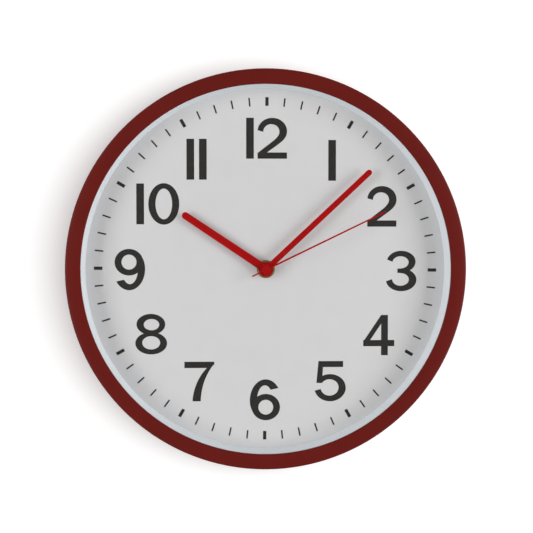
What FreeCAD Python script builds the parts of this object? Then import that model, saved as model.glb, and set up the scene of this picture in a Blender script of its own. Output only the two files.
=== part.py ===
"""Wall clock: a 300 mm ring case, a flat dial and a battery quartz movement.

Millimetres, +Z up, the dial facing -Y. The origin is where the hands' axis meets the wall.
A depth is a distance in front of the wall, so a point at depth d has y = -d.
A place is an (x, z) pair. A bearing is an angle from +X towards +Z, in degrees.
A clock angle is in degrees clockwise from twelve, as seen from the front.
"""

import FreeCAD, Part
import os
from collections import namedtuple
from math import cos, radians, sin, sqrt

from FreeCAD import Vector

Wheel = namedtuple("Wheel", "teeth module back front")
Hand = namedtuple("Hand", "length root tip eye back front collar collar_back")

# Case: a ring whose front lip holds the lens
CASE_RADIUS = 150.0
CASE_BACK_RADIUS = 148.5
CASE_DEPTH = 43.0
CASE_BORE = 146.5
LIP_BORE = 138.4
LIP_BACK = 41.0
LIP_CROWN = 0.3
LIP_ROUND = 1.8
LIP_EDGE_ROUND = 0.8
DRAFT_TOP = 36.0
STACK_RADIUS = 141.0
SCREW_COUNT = 6
SCREW_CIRCLE = 144.2
BOSS_RADIUS = 2.8
PILOT_RADIUS = 1.35
PILOT_DEPTH = 11.0
SCREW_HOLE_GAP = 0.1
SCREW_LENGTH = 12.0
SCREW_HEAD_RADIUS = 2.2
SCREW_HEAD_HEIGHT = 1.6
RECESS_ARM = 1.3
RECESS_HALF_WIDTH = 0.25
RECESS_DEPTH = 1.1

# What the case holds, from the wall outwards
PLATE_BACK = 22.5
PLATE_FRONT = 25.0
PLATE_RADIUS = 146.2
DIAL_FRONT = 25.5
LENS_BACK = 39.0
LENS_CHAMFER = 0.3
RING_FOOT_BORE = 136.2
RING_WALL = 1.4
RIB_BACK = 18.5
RIB_WIDTH = 1.6
RIB_CIRCLES = (52.0, 100.0)
RIB_REACH = 138.0
RIB_COUNT = 12
PEG_RADIUS = 1.0
PEG_CIRCLE = 139.0
PEG_FRONT = 26.5
SHAFT_HOLE = 4.1

# Hanger: a strip on the movement's bush, bent back to the wall
HANGER_HALF_WIDTH = 9.0
HANGER_THICK = 1.0
HANGER_BOTTOM = -12.0
HANGER_STEP = 25.0
HANGER_TOP = 51.0
HANGER_WALL_GAP = 3.0
HANGER_FRONT = 22.5
HANGER_ROUND = 4.0
KEYHOLE_RADIUS = 4.5
KEYHOLE_Z = 35.0
SLOT_HALF_WIDTH = 2.5
SLOT_TOP_Z = 43.0

# Movement case
CASE_HALF = 28.0
MOVEMENT_TOP = 20.0
MOVEMENT_BOTTOM = -36.0
MOVEMENT_BACK = 6.0
MOVEMENT_FRONT = 21.0
WALL = 1.2
DIVIDER_Z = -18.4
CELL_ROOM = (-34.8, -19.0)
CELL_ROOM_FRONT = 20.2
COVER_FRONT = 7.2
COVER_GAP = 0.1
COVER_RIM = 0.6
COVER_RIM_WALL = 1.0
CORNER_RADIUS = 2.0
NOTCH_RADIUS = 9.0
NOTCH_DROP = 5.0
NOTCH_FRONT = 11.0
TAIL_SLOT = (9.9, 12.1)
TRAIN_PLATE = (8.0, 9.0)
TRAIN_PLATE_BOX = (-17.6, 16.6, -16.8, 17.2)
TRAIN_POSTS = ((-15.0, 13.0), (13.5, 15.5), (-15.0, -14.5), (2.0, -15.5))
POST_RADIUS = 1.5
SPIGOT_RADIUS = 0.7
SPIGOT_PROUD = 0.4
BOARD_BOX = (-26.0, -18.9, -12.0, 15.0)
BOARD_DEPTHS = (14.0, 14.8)
BOARD_POSTS = ((-22.5, -8.0), (-22.5, 11.0))
CHIP_AT = (-22.5, 2.0)
CHIP_RADIUS = 2.8
CHIP_HEIGHT = 1.2
CRYSTAL_FOOT = (-20.2, -9.0)
CRYSTAL_RADIUS = 1.0
CRYSTAL_LENGTH = 6.0

# Bush, pipes and arbor on the hands' axis
BUSH_RADIUS = 4.0
BUSH_FRONT = 28.5
BUSH_COLLAR = 5.2
RUBBER_RADIUS = 11.0
WASHER_RADIUS = 6.8
WASHER_THICK = 0.5
NUT_ACROSS_FLATS = 11.0
NUT_THICK = 2.0
NUT_CHAMFER = 0.5
HOUR_PIPE = 2.5
MINUTE_PIPE = 1.7
ARBOR = 0.5
RUNNING_GAP = 0.08
PIVOT_GAP = 0.05
HOUR_PIPE_END = 31.0
MINUTE_PIPE_END = 33.4
ARBOR_END = 35.6

# The train, from the rotor to the hour hand, and where each arbor stands
ROTOR_PINION = Wheel(8, 0.25, 11.7, 12.9)
INTERMEDIATE_WHEEL = Wheel(48, 0.25, 12.0, 12.6)
INTERMEDIATE_PINION = Wheel(8, 0.30, 9.7, 11.2)
SECONDS_WHEEL = Wheel(40, 0.30, 10.0, 10.8)
SECONDS_PINION = Wheel(8, 0.27, 13.1, 14.5)
THIRD_WHEEL = Wheel(60, 0.27, 13.4, 14.1)
THIRD_PINION = Wheel(8, 0.255, 15.1, 16.6)
CENTRE_WHEEL = Wheel(64, 0.255, 15.4, 16.2)
CANNON_PINION = Wheel(12, 0.40, 17.0, 18.2)
MINUTE_WORK_WHEEL = Wheel(36, 0.40, 17.2, 18.0)
MINUTE_WORK_PINION = Wheel(10, 0.384, 18.0, 19.5)
HOUR_WHEEL = Wheel(40, 0.384, 18.6, 19.4)
INTERMEDIATE_BEARING = -40.0
ROTOR_BEARING = -10.0
THIRD_BEARING = 190.0
MINUTE_WORK_BEARING = 60.0
REAR_PIVOT = 8.2
FRONT_PIVOT = 20.3
PIVOT_DEPTH = 0.7
PIN = 0.4
STUD_FRONT = 13.0
WHEEL_NECK = 0.75
MINUTE_FLANGE_RADIUS = 2.3
MINUTE_FLANGE = (14.9, 15.3)
CLUTCH_RADIUS = 3.4
CLUTCH_BACK = 16.28
CLUTCH_RISE = 0.47
CLUTCH_THICK = 0.2

# Straight-sided teeth: heights in modules, half widths as shares of the pitch
ADDENDUM = 0.75
DEDENDUM = 1.15
TOOTH_ROOT = 0.27
TOOTH_PITCH = 0.19
TOOTH_TIP = 0.08

# Setting knob
MINUTE_WORK_PIN = 0.8
MINUTE_WORK_PIN_BACK = 4.4
KNOB_RADIUS = 6.0
KNOB_DEPTHS = (3.4, 5.8)
KNOB_NECK = 1.5
KNOB_NECK_FRONT = 7.6
KNOB_FLUTES = 24
FLUTE_RADIUS = 0.35

# Stepping motor
MAGNET_RADIUS = 2.7
MAGNET_DEPTHS = (13.5, 15.7)
STATOR_BORE = 3.3
STATOR_DEPTHS = (14.2, 15.2)
CORE_DEPTHS = (13.0, 14.2)
CORE_X = 21.5
CORE_HALF_WIDTH = 1.7
CORE_ENDS = (-17.2, 13.2)
CORE_PINS = (-16.1, 11.6)
COIL_ENDS = (-14.2, 8.8)
FLANGE = 0.8
FLANGE_HALF = 4.0
SLEEVE_HALVES = (2.5, 1.4)
WINDING_HALVES = (3.6, 3.4)
WINDING_ROUND = 1.6
STATOR_LEFT = 7.8
STATOR_RIGHT = 24.8
STATOR_GAP_LEFT = 17.2
STATOR_GAP = (-14.9, 9.6)
STATOR_ENDS = (-17.4, 13.5)

# Cell: an unmarked AA
CELL_RADIUS = 7.1
CELL_PLACE = (-26.9, 13.0)
CELL_MINUS = -25.2
CELL_PLUS = 25.3
CAP_HEIGHT = 0.6
CAP_RADIUS = 5.2
BUTTON_HEIGHT = 1.1
BUTTON_RADIUS = 2.7
BASE_HEIGHT = 0.4
BASE_RADIUS = 5.0
CONTACT_THICK = 0.4
CONTACT_DEPTHS = (8.5, 18.5)
CONTACT_MARGIN = 1.5
TAIL_DEPTHS = (10.0, 12.0)
CONTACT_GAP = 0.05
LEAF_HALF_HEIGHT = 4.0
LEAF_HALF_WIDTH = 3.0
LEAF_GAP = 0.15
LEAF_THICK = 0.3
DIMPLE_RADIUS = 2.2
TAB_TOP = -10.0

# Hands
HOUR_ANGLE = 303.7
MINUTE_ANGLE = 46.8
SECOND_ANGLE = 64.2
HOUR_HAND = Hand(75.7, 6.1, 5.4, 5.6, 29.6, 30.1, 3.6, 28.9)
MINUTE_HAND = Hand(108.8, 4.4, 4.3, 4.4, 32.2, 32.7, 2.8, 31.4)
SECOND_HAND = Hand(99.9, 1.35, 1.1, 2.4, 35.3, 35.6, 1.0, 34.0)
SECOND_TAIL = 11.8
SECOND_CAP_RADIUS = 3.4
SECOND_CAP_HEIGHT = 1.2

OVERRUN = 1.0
OUTWARD = Vector(0, -1, 0)
AXIS = (0.0, 0.0)


def polar(radius, bearing, about=AXIS):
    """The place at a radius and bearing from another place."""
    return (about[0] + radius * cos(radians(bearing)), about[1] + radius * sin(radians(bearing)))


def rod(radius, back, front, at=AXIS):
    """A round bar or disc between two depths."""
    return Part.makeCylinder(radius, front - back, Vector(at[0], -back, at[1]), OUTWARD)


def hole(radius, back, front, at=AXIS):
    """What a through hole takes away, a little longer than the wall it passes."""
    return rod(radius, back - OVERRUN, front + OVERRUN, at)


def tube(outer, inner, back, front, at=AXIS):
    """A washer or pipe between two depths."""
    return rod(outer, back, front, at).cut(hole(inner, back, front, at))


def block(x0, x1, z0, z1, back, front):
    """A box from its sides in x and z and its two depths."""
    return Part.makeBox(x1 - x0, front - back, z1 - z0, Vector(x0, -front, z0))


def plate(outline, back, front):
    """A flat piece with straight edges, from the places of its corners."""
    corners = [Vector(x, -back, z) for x, z in outline]
    face = Part.Face(Part.makePolygon(corners + corners[:1]))
    return face.extrude(OUTWARD * (front - back))


def strip(profile, x0, x1):
    """A bent strip of constant width, from the (depth, z) corners of its edge view."""
    corners = [Vector(x0, -depth, z) for depth, z in profile]
    face = Part.Face(Part.makePolygon(corners + corners[:1]))
    return face.extrude(Vector(x1 - x0, 0, 0))


def turned(profile, at=AXIS):
    """A turned piece from (radius, depth) corners. An entry with a third item is the middle of an arc."""
    points = [Vector(entry[0], -entry[1], 0) for entry in profile]
    edges = []
    index = 0
    while index < len(points):
        after = (index + 1) % len(points)
        if len(profile[after]) == 3:
            end = (index + 2) % len(points)
            edges.append(Part.Arc(points[index], points[after], points[end]).toShape())
            index += 2
        else:
            edges.append(Part.makeLine(points[index], points[after]))
            index += 1
    solid = Part.Face(Part.Wire(edges)).revolve(Vector(0, 0, 0), Vector(0, 1, 0), 360)
    if solid.Volume < 0:
        solid.reverse()
    solid.translate(Vector(at[0], 0, at[1]))
    return solid


def joined(first, *others):
    """One solid from pieces that overlap or touch."""
    shape = first
    for other in others:
        shape = shape.fuse(other)
    return shape.removeSplitter()


def rounded(shape, radius, chosen):
    """The shape with the edges that chosen picks rounded off."""
    return shape.makeFillet(radius, [edge for edge in shape.Edges if chosen(edge)])


def runs_along_depth(edge):
    """True for a straight edge that points away from the wall."""
    ends = [vertex.Point for vertex in edge.Vertexes]
    return len(ends) == 2 and abs(abs(ends[0].y - ends[1].y) - edge.Length) < 1e-6


def tooth_outline(wheel, bearing):
    """The corners of a gear around the origin that has a tooth centred on a bearing."""
    pitch = wheel.module * wheel.teeth / 2
    root = pitch - DEDENDUM * wheel.module
    tip = pitch + ADDENDUM * wheel.module
    step = 360.0 / wheel.teeth
    flank = ((root, TOOTH_ROOT), (pitch, TOOTH_PITCH), (tip, TOOTH_TIP))
    corners = []
    for number in range(wheel.teeth):
        middle = bearing + number * step
        corners += [polar(radius, middle - share * step) for radius, share in flank]
        corners += [polar(radius, middle + share * step) for radius, share in reversed(flank)]
    return corners


def gear(wheel, at=AXIS, bearing=0.0):
    """A toothed disc at its depths."""
    corners = [(x + at[0], z + at[1]) for x, z in tooth_outline(wheel, bearing)]
    return plate(corners, wheel.back, wheel.front)


def centre_distance(first, second):
    """How far apart two meshed wheels turn."""
    return (first.teeth * first.module + second.teeth * second.module) / 2


def meshing(driver, driven, line):
    """The bearing of a tooth of the driven wheel, when one of the driver's points along +X.

    line is the bearing of the driven wheel from the driver.
    """
    return line + 180.0 + line * driver.teeth / driven.teeth + 180.0 / driven.teeth


INTERMEDIATE_AT = polar(centre_distance(INTERMEDIATE_PINION, SECONDS_WHEEL), INTERMEDIATE_BEARING)
ROTOR_AT = polar(centre_distance(ROTOR_PINION, INTERMEDIATE_WHEEL), ROTOR_BEARING, INTERMEDIATE_AT)
THIRD_AT = polar(centre_distance(SECONDS_PINION, THIRD_WHEEL), THIRD_BEARING)
MINUTE_WORK_AT = polar(centre_distance(CANNON_PINION, MINUTE_WORK_WHEEL), MINUTE_WORK_BEARING)


def case_ring():
    """The plastic ring: a drafted wall, a crowned front lip and the screw bosses behind it."""
    shoulder = CASE_DEPTH - LIP_CROWN
    ring = turned([
        (CASE_BACK_RADIUS, 0.0),
        (CASE_RADIUS, DRAFT_TOP),
        (CASE_RADIUS, shoulder - LIP_ROUND),
        (CASE_RADIUS - 0.29 * LIP_ROUND, shoulder - 0.29 * LIP_ROUND, "arc"),
        (CASE_RADIUS - LIP_ROUND, shoulder),
        ((CASE_RADIUS + LIP_BORE) / 2, CASE_DEPTH, "arc"),
        (LIP_BORE + LIP_EDGE_ROUND, shoulder),
        (LIP_BORE + 0.29 * LIP_EDGE_ROUND, shoulder - 0.29 * LIP_EDGE_ROUND, "arc"),
        (LIP_BORE, shoulder - LIP_EDGE_ROUND),
        (LIP_BORE, LIP_BACK),
        (CASE_BORE, LIP_BACK),
        (CASE_BORE, 0.0),
    ])
    for number in range(SCREW_COUNT):
        ring = ring.fuse(rod(BOSS_RADIUS, PLATE_FRONT, LIP_BACK, screw_place(number)))
    for number in range(SCREW_COUNT):
        pilot = rod(PILOT_RADIUS, PLATE_FRONT - OVERRUN, PLATE_FRONT + PILOT_DEPTH, screw_place(number))
        ring = ring.cut(pilot)
    return ring.removeSplitter()


def screw_place(number):
    """The place of one case screw."""
    return polar(SCREW_CIRCLE, 30.0 + number * 360.0 / SCREW_COUNT)


def lens():
    """The flat glass behind the lip, with its edge chamfered."""
    return turned([
        (0.0, LENS_BACK),
        (STACK_RADIUS - LENS_CHAMFER, LENS_BACK),
        (STACK_RADIUS, LENS_BACK + LENS_CHAMFER),
        (STACK_RADIUS, LIP_BACK - LENS_CHAMFER),
        (STACK_RADIUS - LENS_CHAMFER, LIP_BACK),
        (0.0, LIP_BACK),
    ])


def inner_ring():
    """The pale spacer between dial and lens: a sloping wall with a flange at each end."""
    ring = turned([
        (RING_FOOT_BORE, DIAL_FRONT),
        (STACK_RADIUS, DIAL_FRONT),
        (STACK_RADIUS, DIAL_FRONT + RING_WALL),
        (RING_FOOT_BORE + RING_WALL, DIAL_FRONT + RING_WALL),
        (LIP_BORE + RING_WALL, LENS_BACK - RING_WALL),
        (STACK_RADIUS, LENS_BACK - RING_WALL),
        (STACK_RADIUS, LENS_BACK),
        (LIP_BORE, LENS_BACK),
    ])
    return ring.cut(peg_hole(DIAL_FRONT, DIAL_FRONT + RING_WALL))


def peg_hole(back, front):
    """What the back plate's locating peg passes through."""
    return hole(PEG_RADIUS + RUNNING_GAP, back, front, polar(PEG_CIRCLE, -90))


def dial():
    """The dial sheet, with holes for the bush and the locating peg."""
    sheet = tube(STACK_RADIUS, SHAFT_HOLE, PLATE_FRONT, DIAL_FRONT)
    return sheet.cut(peg_hole(PLATE_FRONT, DIAL_FRONT))


def back_plate():
    """The ribbed disc that closes the case and carries the movement."""
    disc = rod(PLATE_RADIUS, PLATE_BACK, PLATE_FRONT)
    half = RIB_WIDTH / 2
    ribs = [tube(radius + half, radius - half, RIB_BACK, PLATE_BACK) for radius in RIB_CIRCLES]
    for number in range(RIB_COUNT):
        rib = block(RIB_CIRCLES[0], RIB_REACH, -half, half, RIB_BACK, PLATE_BACK)
        rib.rotate(Vector(0, 0, 0), Vector(0, 1, 0), number * 360.0 / RIB_COUNT)
        ribs.append(rib)
    peg = rod(PEG_RADIUS, PLATE_FRONT - OVERRUN, PEG_FRONT, polar(PEG_CIRCLE, -90))
    shape = joined(disc, peg, *ribs).cut(hole(SHAFT_HOLE, PLATE_BACK, PLATE_FRONT))
    for number in range(SCREW_COUNT):
        shape = shape.cut(hole(PILOT_RADIUS + SCREW_HOLE_GAP, PLATE_BACK, PLATE_FRONT, screw_place(number)))
    return shape


def case_screws():
    """The self-tapping screws that hold the back plate to the ring's bosses."""
    top = PLATE_BACK - SCREW_HEAD_HEIGHT
    screws = []
    for number in range(SCREW_COUNT):
        at = screw_place(number)
        head = turned([
            (0.0, top),
            (SCREW_HEAD_RADIUS * 0.5, top),
            (SCREW_HEAD_RADIUS * 0.88, top + SCREW_HEAD_HEIGHT * 0.25, "arc"),
            (SCREW_HEAD_RADIUS, top + SCREW_HEAD_HEIGHT * 0.65),
            (SCREW_HEAD_RADIUS, PLATE_BACK),
            (0.0, PLATE_BACK),
        ], at)
        shank = rod(PILOT_RADIUS - PIVOT_GAP, PLATE_BACK, PLATE_BACK + SCREW_LENGTH, at)
        screw = joined(head, shank)
        for across, up in ((RECESS_ARM, RECESS_HALF_WIDTH), (RECESS_HALF_WIDTH, RECESS_ARM)):
            sides = (at[0] - across, at[0] + across, at[1] - up, at[1] + up)
            screw = screw.cut(block(*sides, top - OVERRUN, top + RECESS_DEPTH))
        screws.append(screw)
    return Part.makeCompound(screws)


def hanger():
    """The steel strip that hangs on a wall screw: over the bush, back to the wall, then up to a keyhole."""
    inner = HANGER_FRONT - HANGER_THICK
    tab_front = HANGER_WALL_GAP + HANGER_THICK
    shape = strip([
        (inner, HANGER_BOTTOM),
        (HANGER_FRONT, HANGER_BOTTOM),
        (HANGER_FRONT, HANGER_STEP),
        (tab_front, HANGER_STEP),
        (tab_front, HANGER_TOP),
        (HANGER_WALL_GAP, HANGER_TOP),
        (HANGER_WALL_GAP, HANGER_STEP - HANGER_THICK),
        (inner, HANGER_STEP - HANGER_THICK),
    ], -HANGER_HALF_WIDTH, HANGER_HALF_WIDTH)
    shape = rounded(shape, HANGER_ROUND, is_sheet_corner)
    through = HANGER_WALL_GAP + 2 * HANGER_THICK
    keyhole = joined(
        rod(KEYHOLE_RADIUS, 0.0, through, (0.0, KEYHOLE_Z)),
        block(-SLOT_HALF_WIDTH, SLOT_HALF_WIDTH, KEYHOLE_Z, SLOT_TOP_Z, 0.0, through),
        rod(SLOT_HALF_WIDTH, 0.0, through, (0.0, SLOT_TOP_Z)),
    )
    return shape.cut(keyhole).cut(hole(SHAFT_HOLE, inner, HANGER_FRONT))


def is_sheet_corner(edge):
    """True for the short corner edges of the hanger's two ends."""
    return runs_along_depth(edge) and edge.Length < 2 * HANGER_THICK


def rubber_washer():
    """The soft washer between movement and hanger, around the bush's collar."""
    return tube(RUBBER_RADIUS, BUSH_COLLAR + COVER_GAP, MOVEMENT_FRONT, HANGER_FRONT - HANGER_THICK)


def brass_washer():
    """The washer on the dial, under the nut."""
    return tube(WASHER_RADIUS, SHAFT_HOLE, DIAL_FRONT, DIAL_FRONT + WASHER_THICK)


def threaded_bush():
    """The brass bush of the movement, with the collar that the hanger bears on."""
    collar = rod(BUSH_COLLAR, MOVEMENT_FRONT, HANGER_FRONT - HANGER_THICK)
    barrel = rod(BUSH_RADIUS, MOVEMENT_FRONT - WALL, BUSH_FRONT)
    return joined(barrel, collar).cut(hole(HOUR_PIPE + RUNNING_GAP, MOVEMENT_FRONT - WALL, BUSH_FRONT))


def hex_nut():
    """The nut that clamps movement, hanger, back plate and dial together."""
    back = DIAL_FRONT + WASHER_THICK
    front = back + NUT_THICK
    corner = NUT_ACROSS_FLATS / sqrt(3)
    corners = [polar(corner, 30 + 60 * number) for number in range(6)]
    dome = turned([
        (0.0, back),
        (corner, back),
        (corner, front - NUT_CHAMFER),
        (corner - 1.5 * NUT_CHAMFER, front),
        (0.0, front),
    ])
    return plate(corners, back, front).common(dome).cut(hole(BUSH_RADIUS, back, front))


def movement_case():
    """The movement's black tray: the train room, the cell room beside it, and the posts inside."""
    train_front = MOVEMENT_FRONT - WALL
    inner = CASE_HALF - WALL
    upper = block(-CASE_HALF, CASE_HALF, DIVIDER_Z, MOVEMENT_TOP, COVER_FRONT, MOVEMENT_FRONT)
    lower = block(-CASE_HALF, CASE_HALF, MOVEMENT_BOTTOM, DIVIDER_Z, MOVEMENT_BACK, MOVEMENT_FRONT)
    shell = rounded(joined(upper, lower), CORNER_RADIUS, is_outer_corner)
    train_sides = (-inner, inner, DIVIDER_Z + WALL / 2, MOVEMENT_TOP - WALL)
    train_room = block(*train_sides, MOVEMENT_BACK - OVERRUN, train_front)
    cell_room = block(-inner, inner, *CELL_ROOM, MOVEMENT_BACK - OVERRUN, CELL_ROOM_FRONT)
    thumb_notch = rod(NOTCH_RADIUS, MOVEMENT_BACK - OVERRUN, NOTCH_FRONT, (0.0, MOVEMENT_BOTTOM - NOTCH_DROP))
    shell = shell.cut(train_room).cut(cell_room).cut(thumb_notch)
    for side in (-inner, inner - CONTACT_THICK):
        slot = block(side, side + CONTACT_THICK, CELL_ROOM[1] - OVERRUN, DIVIDER_Z + WALL, *TAIL_SLOT)
        shell = shell.cut(slot)
    posts = []
    for at in TRAIN_POSTS:
        posts.append(rod(POST_RADIUS, TRAIN_PLATE[1], train_front, at))
        posts.append(rod(SPIGOT_RADIUS, TRAIN_PLATE[0], TRAIN_PLATE[1], at))
    for at in BOARD_POSTS:
        posts.append(rod(POST_RADIUS, BOARD_DEPTHS[1], train_front, at))
        posts.append(rod(SPIGOT_RADIUS, BOARD_DEPTHS[0] - SPIGOT_PROUD, BOARD_DEPTHS[1], at))
    for z in CORE_PINS:
        posts.append(rod(POST_RADIUS, STATOR_DEPTHS[1], train_front, (CORE_X, z)))
        posts.append(rod(SPIGOT_RADIUS, CORE_DEPTHS[0], STATOR_DEPTHS[1], (CORE_X, z)))
    shell = joined(shell, *posts).cut(hole(BUSH_RADIUS, train_front, MOVEMENT_FRONT))
    for at, radius in ((ROTOR_AT, PIN), (THIRD_AT, PIN), (MINUTE_WORK_AT, MINUTE_WORK_PIN)):
        shell = shell.cut(rod(radius + PIVOT_GAP, train_front - OVERRUN, train_front + PIVOT_DEPTH, at))
    return shell


def is_outer_corner(edge):
    """True for the long corner edges of the movement case."""
    middle = edge.CenterOfMass
    at_side = abs(abs(middle.x) - CASE_HALF) < 0.01
    at_end = min(abs(middle.z - MOVEMENT_TOP), abs(middle.z - MOVEMENT_BOTTOM)) < 0.01
    return runs_along_depth(edge) and at_side and at_end


def rear_cover():
    """The lid over the train, with a rim inside the tray and a hole for the setting knob's neck."""
    inner = CASE_HALF - WALL - COVER_GAP
    top = MOVEMENT_TOP - WALL - COVER_GAP
    bottom = DIVIDER_Z + WALL / 2 + COVER_GAP
    rim_front = COVER_FRONT + COVER_RIM
    lid = block(-CASE_HALF, CASE_HALF, DIVIDER_Z + COVER_GAP, MOVEMENT_TOP, MOVEMENT_BACK, COVER_FRONT)
    lid = rounded(lid, CORNER_RADIUS, lambda edge: runs_along_depth(edge) and edge.CenterOfMass.z > 0)
    rim = block(-inner, inner, bottom, top, COVER_FRONT, rim_front)
    wall = COVER_RIM_WALL
    room_sides = (wall - inner, inner - wall, bottom + wall, top - wall)
    rim = rim.cut(block(*room_sides, MOVEMENT_BACK, MOVEMENT_FRONT))
    return joined(lid, rim).cut(hole(KNOB_NECK + COVER_GAP, MOVEMENT_BACK, rim_front, MINUTE_WORK_AT))


def gear_plate():
    """The plate that the rear pivots run in, with the stud that the intermediate wheel turns on."""
    back, front = TRAIN_PLATE
    shape = joined(block(*TRAIN_PLATE_BOX, back, front), rod(PIN, front, STUD_FRONT, INTERMEDIATE_AT))
    for at in TRAIN_POSTS:
        shape = shape.cut(hole(SPIGOT_RADIUS, back, front, at))
    for at in (ROTOR_AT, THIRD_AT):
        shape = shape.cut(hole(PIN + PIVOT_GAP, back, front, at))
    shape = shape.cut(hole(ARBOR + PIVOT_GAP, back, front))
    return shape.cut(hole(MINUTE_WORK_PIN + PIVOT_GAP, back, front, MINUTE_WORK_AT))


def circuit_board():
    """The small board beside the train."""
    board = block(*BOARD_BOX, *BOARD_DEPTHS)
    for at in BOARD_POSTS:
        board = board.cut(hole(SPIGOT_RADIUS, *BOARD_DEPTHS, at))
    return board


def chip():
    """The dab of resin over the clock circuit."""
    back = BOARD_DEPTHS[0]
    top = back - CHIP_HEIGHT
    return turned([
        (0.0, top),
        (CHIP_RADIUS * 0.57, top + CHIP_HEIGHT * 0.2, "arc"),
        (CHIP_RADIUS, back),
        (0.0, back),
    ], CHIP_AT)


def crystal():
    """The quartz crystal's can, lying on the board."""
    x, z = CRYSTAL_FOOT
    foot = Vector(x, CRYSTAL_RADIUS - BOARD_DEPTHS[0], z)
    return Part.makeCylinder(CRYSTAL_RADIUS, CRYSTAL_LENGTH, foot, Vector(0, 0, 1))


def coil_core():
    """The strip of soft iron through the coil."""
    x0, x1 = CORE_X - CORE_HALF_WIDTH, CORE_X + CORE_HALF_WIDTH
    core = block(x0, x1, *CORE_ENDS, *CORE_DEPTHS)
    for z in CORE_PINS:
        core = core.cut(hole(SPIGOT_RADIUS, *CORE_DEPTHS, (CORE_X, z)))
    return core


def coil_box(half_width, half_depth, z0, z1):
    """A box centred on the coil's axis."""
    middle = sum(CORE_DEPTHS) / 2
    return block(CORE_X - half_width, CORE_X + half_width, z0, z1, middle - half_depth, middle + half_depth)


def coil_bobbin():
    """The spool: a square sleeve on the core with a flange at each end."""
    z0, z1 = COIL_ENDS
    spool = joined(
        coil_box(*SLEEVE_HALVES, z0, z1),
        coil_box(FLANGE_HALF, FLANGE_HALF, z0, z0 + FLANGE),
        coil_box(FLANGE_HALF, FLANGE_HALF, z1 - FLANGE, z1),
    )
    half_depth = (CORE_DEPTHS[1] - CORE_DEPTHS[0]) / 2
    return spool.cut(coil_box(CORE_HALF_WIDTH, half_depth, z0 - OVERRUN, z1 + OVERRUN))


def coil_winding():
    """The copper winding between the flanges."""
    z0, z1 = COIL_ENDS[0] + FLANGE, COIL_ENDS[1] - FLANGE
    winding = coil_box(*WINDING_HALVES, z0, z1)
    winding = rounded(winding, WINDING_ROUND, lambda edge: abs(edge.Length - (z1 - z0)) < 1e-6)
    return winding.cut(coil_box(*SLEEVE_HALVES, z0 - OVERRUN, z1 + OVERRUN))


def stator():
    """The motor's pole plate: two arms on the core's ends and the bore that the magnet turns in."""
    low, high = STATOR_ENDS
    gap_low, gap_high = STATOR_GAP
    arms = plate([
        (STATOR_LEFT, -11.5),
        (STATOR_LEFT, -0.5),
        (13.5, 9.0),
        (15.5, high),
        (STATOR_RIGHT, high),
        (STATOR_RIGHT, gap_high),
        (STATOR_GAP_LEFT, gap_high),
        (STATOR_GAP_LEFT, gap_low),
        (STATOR_RIGHT, gap_low),
        (STATOR_RIGHT, low),
        (12.0, low),
    ], *STATOR_DEPTHS)
    shape = arms.cut(hole(STATOR_BORE, *STATOR_DEPTHS, ROTOR_AT))
    for z in CORE_PINS:
        shape = shape.cut(hole(SPIGOT_RADIUS, *STATOR_DEPTHS, (CORE_X, z)))
    return shape


def rotor_magnet():
    """The magnet on the rotor."""
    return tube(MAGNET_RADIUS, PIN, *MAGNET_DEPTHS, ROTOR_AT)


def rotor_pinion():
    """The rotor's arbor and its pinion."""
    bearing = meshing(INTERMEDIATE_WHEEL, ROTOR_PINION, ROTOR_BEARING + 180.0)
    return joined(gear(ROTOR_PINION, ROTOR_AT, bearing), rod(PIN, REAR_PIVOT, FRONT_PIVOT, ROTOR_AT))


def intermediate_wheel():
    """The wheel between rotor and seconds wheel, loose on the plate's stud."""
    wheel = gear(INTERMEDIATE_WHEEL, INTERMEDIATE_AT)
    bearing = meshing(SECONDS_WHEEL, INTERMEDIATE_PINION, INTERMEDIATE_BEARING)
    pinion = gear(INTERMEDIATE_PINION, INTERMEDIATE_AT, bearing)
    neck = rod(WHEEL_NECK, INTERMEDIATE_PINION.front, INTERMEDIATE_WHEEL.back, INTERMEDIATE_AT)
    bore = hole(PIN + PIVOT_GAP, INTERMEDIATE_PINION.back, INTERMEDIATE_WHEEL.front, INTERMEDIATE_AT)
    return joined(wheel, pinion, neck).cut(bore)


def seconds_wheel():
    """The wheel that turns once a minute, with the pinion that drives the third wheel."""
    neck = rod(WHEEL_NECK, SECONDS_WHEEL.front, SECONDS_PINION.back)
    shape = joined(gear(SECONDS_WHEEL), neck, gear(SECONDS_PINION))
    return shape.cut(hole(ARBOR, SECONDS_WHEEL.back, SECONDS_PINION.front))


def seconds_arbor():
    """The steel pin through both pipes to the second hand."""
    return rod(ARBOR, REAR_PIVOT, ARBOR_END)


def third_wheel():
    """The wheel between seconds wheel and centre wheel."""
    wheel = gear(THIRD_WHEEL, THIRD_AT, meshing(SECONDS_PINION, THIRD_WHEEL, THIRD_BEARING))
    pinion = gear(THIRD_PINION, THIRD_AT, meshing(CENTRE_WHEEL, THIRD_PINION, THIRD_BEARING))
    neck = rod(WHEEL_NECK, THIRD_WHEEL.front, THIRD_PINION.back, THIRD_AT)
    return joined(wheel, rod(PIN, REAR_PIVOT, FRONT_PIVOT, THIRD_AT), neck, pinion)


def centre_wheel():
    """The wheel that carries the minute pipe round through the clutch spring."""
    bore = hole(MINUTE_PIPE + RUNNING_GAP, CENTRE_WHEEL.back, CENTRE_WHEEL.front)
    return gear(CENTRE_WHEEL).cut(bore)


def clutch_spring():
    """The dished washer that presses the centre wheel against the minute pipe's flange."""
    return turned([
        (MINUTE_PIPE, CLUTCH_BACK + CLUTCH_RISE),
        (CLUTCH_RADIUS, CLUTCH_BACK),
        (CLUTCH_RADIUS, CLUTCH_BACK + CLUTCH_THICK),
        (MINUTE_PIPE, CLUTCH_BACK + CLUTCH_RISE + CLUTCH_THICK),
    ])


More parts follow.
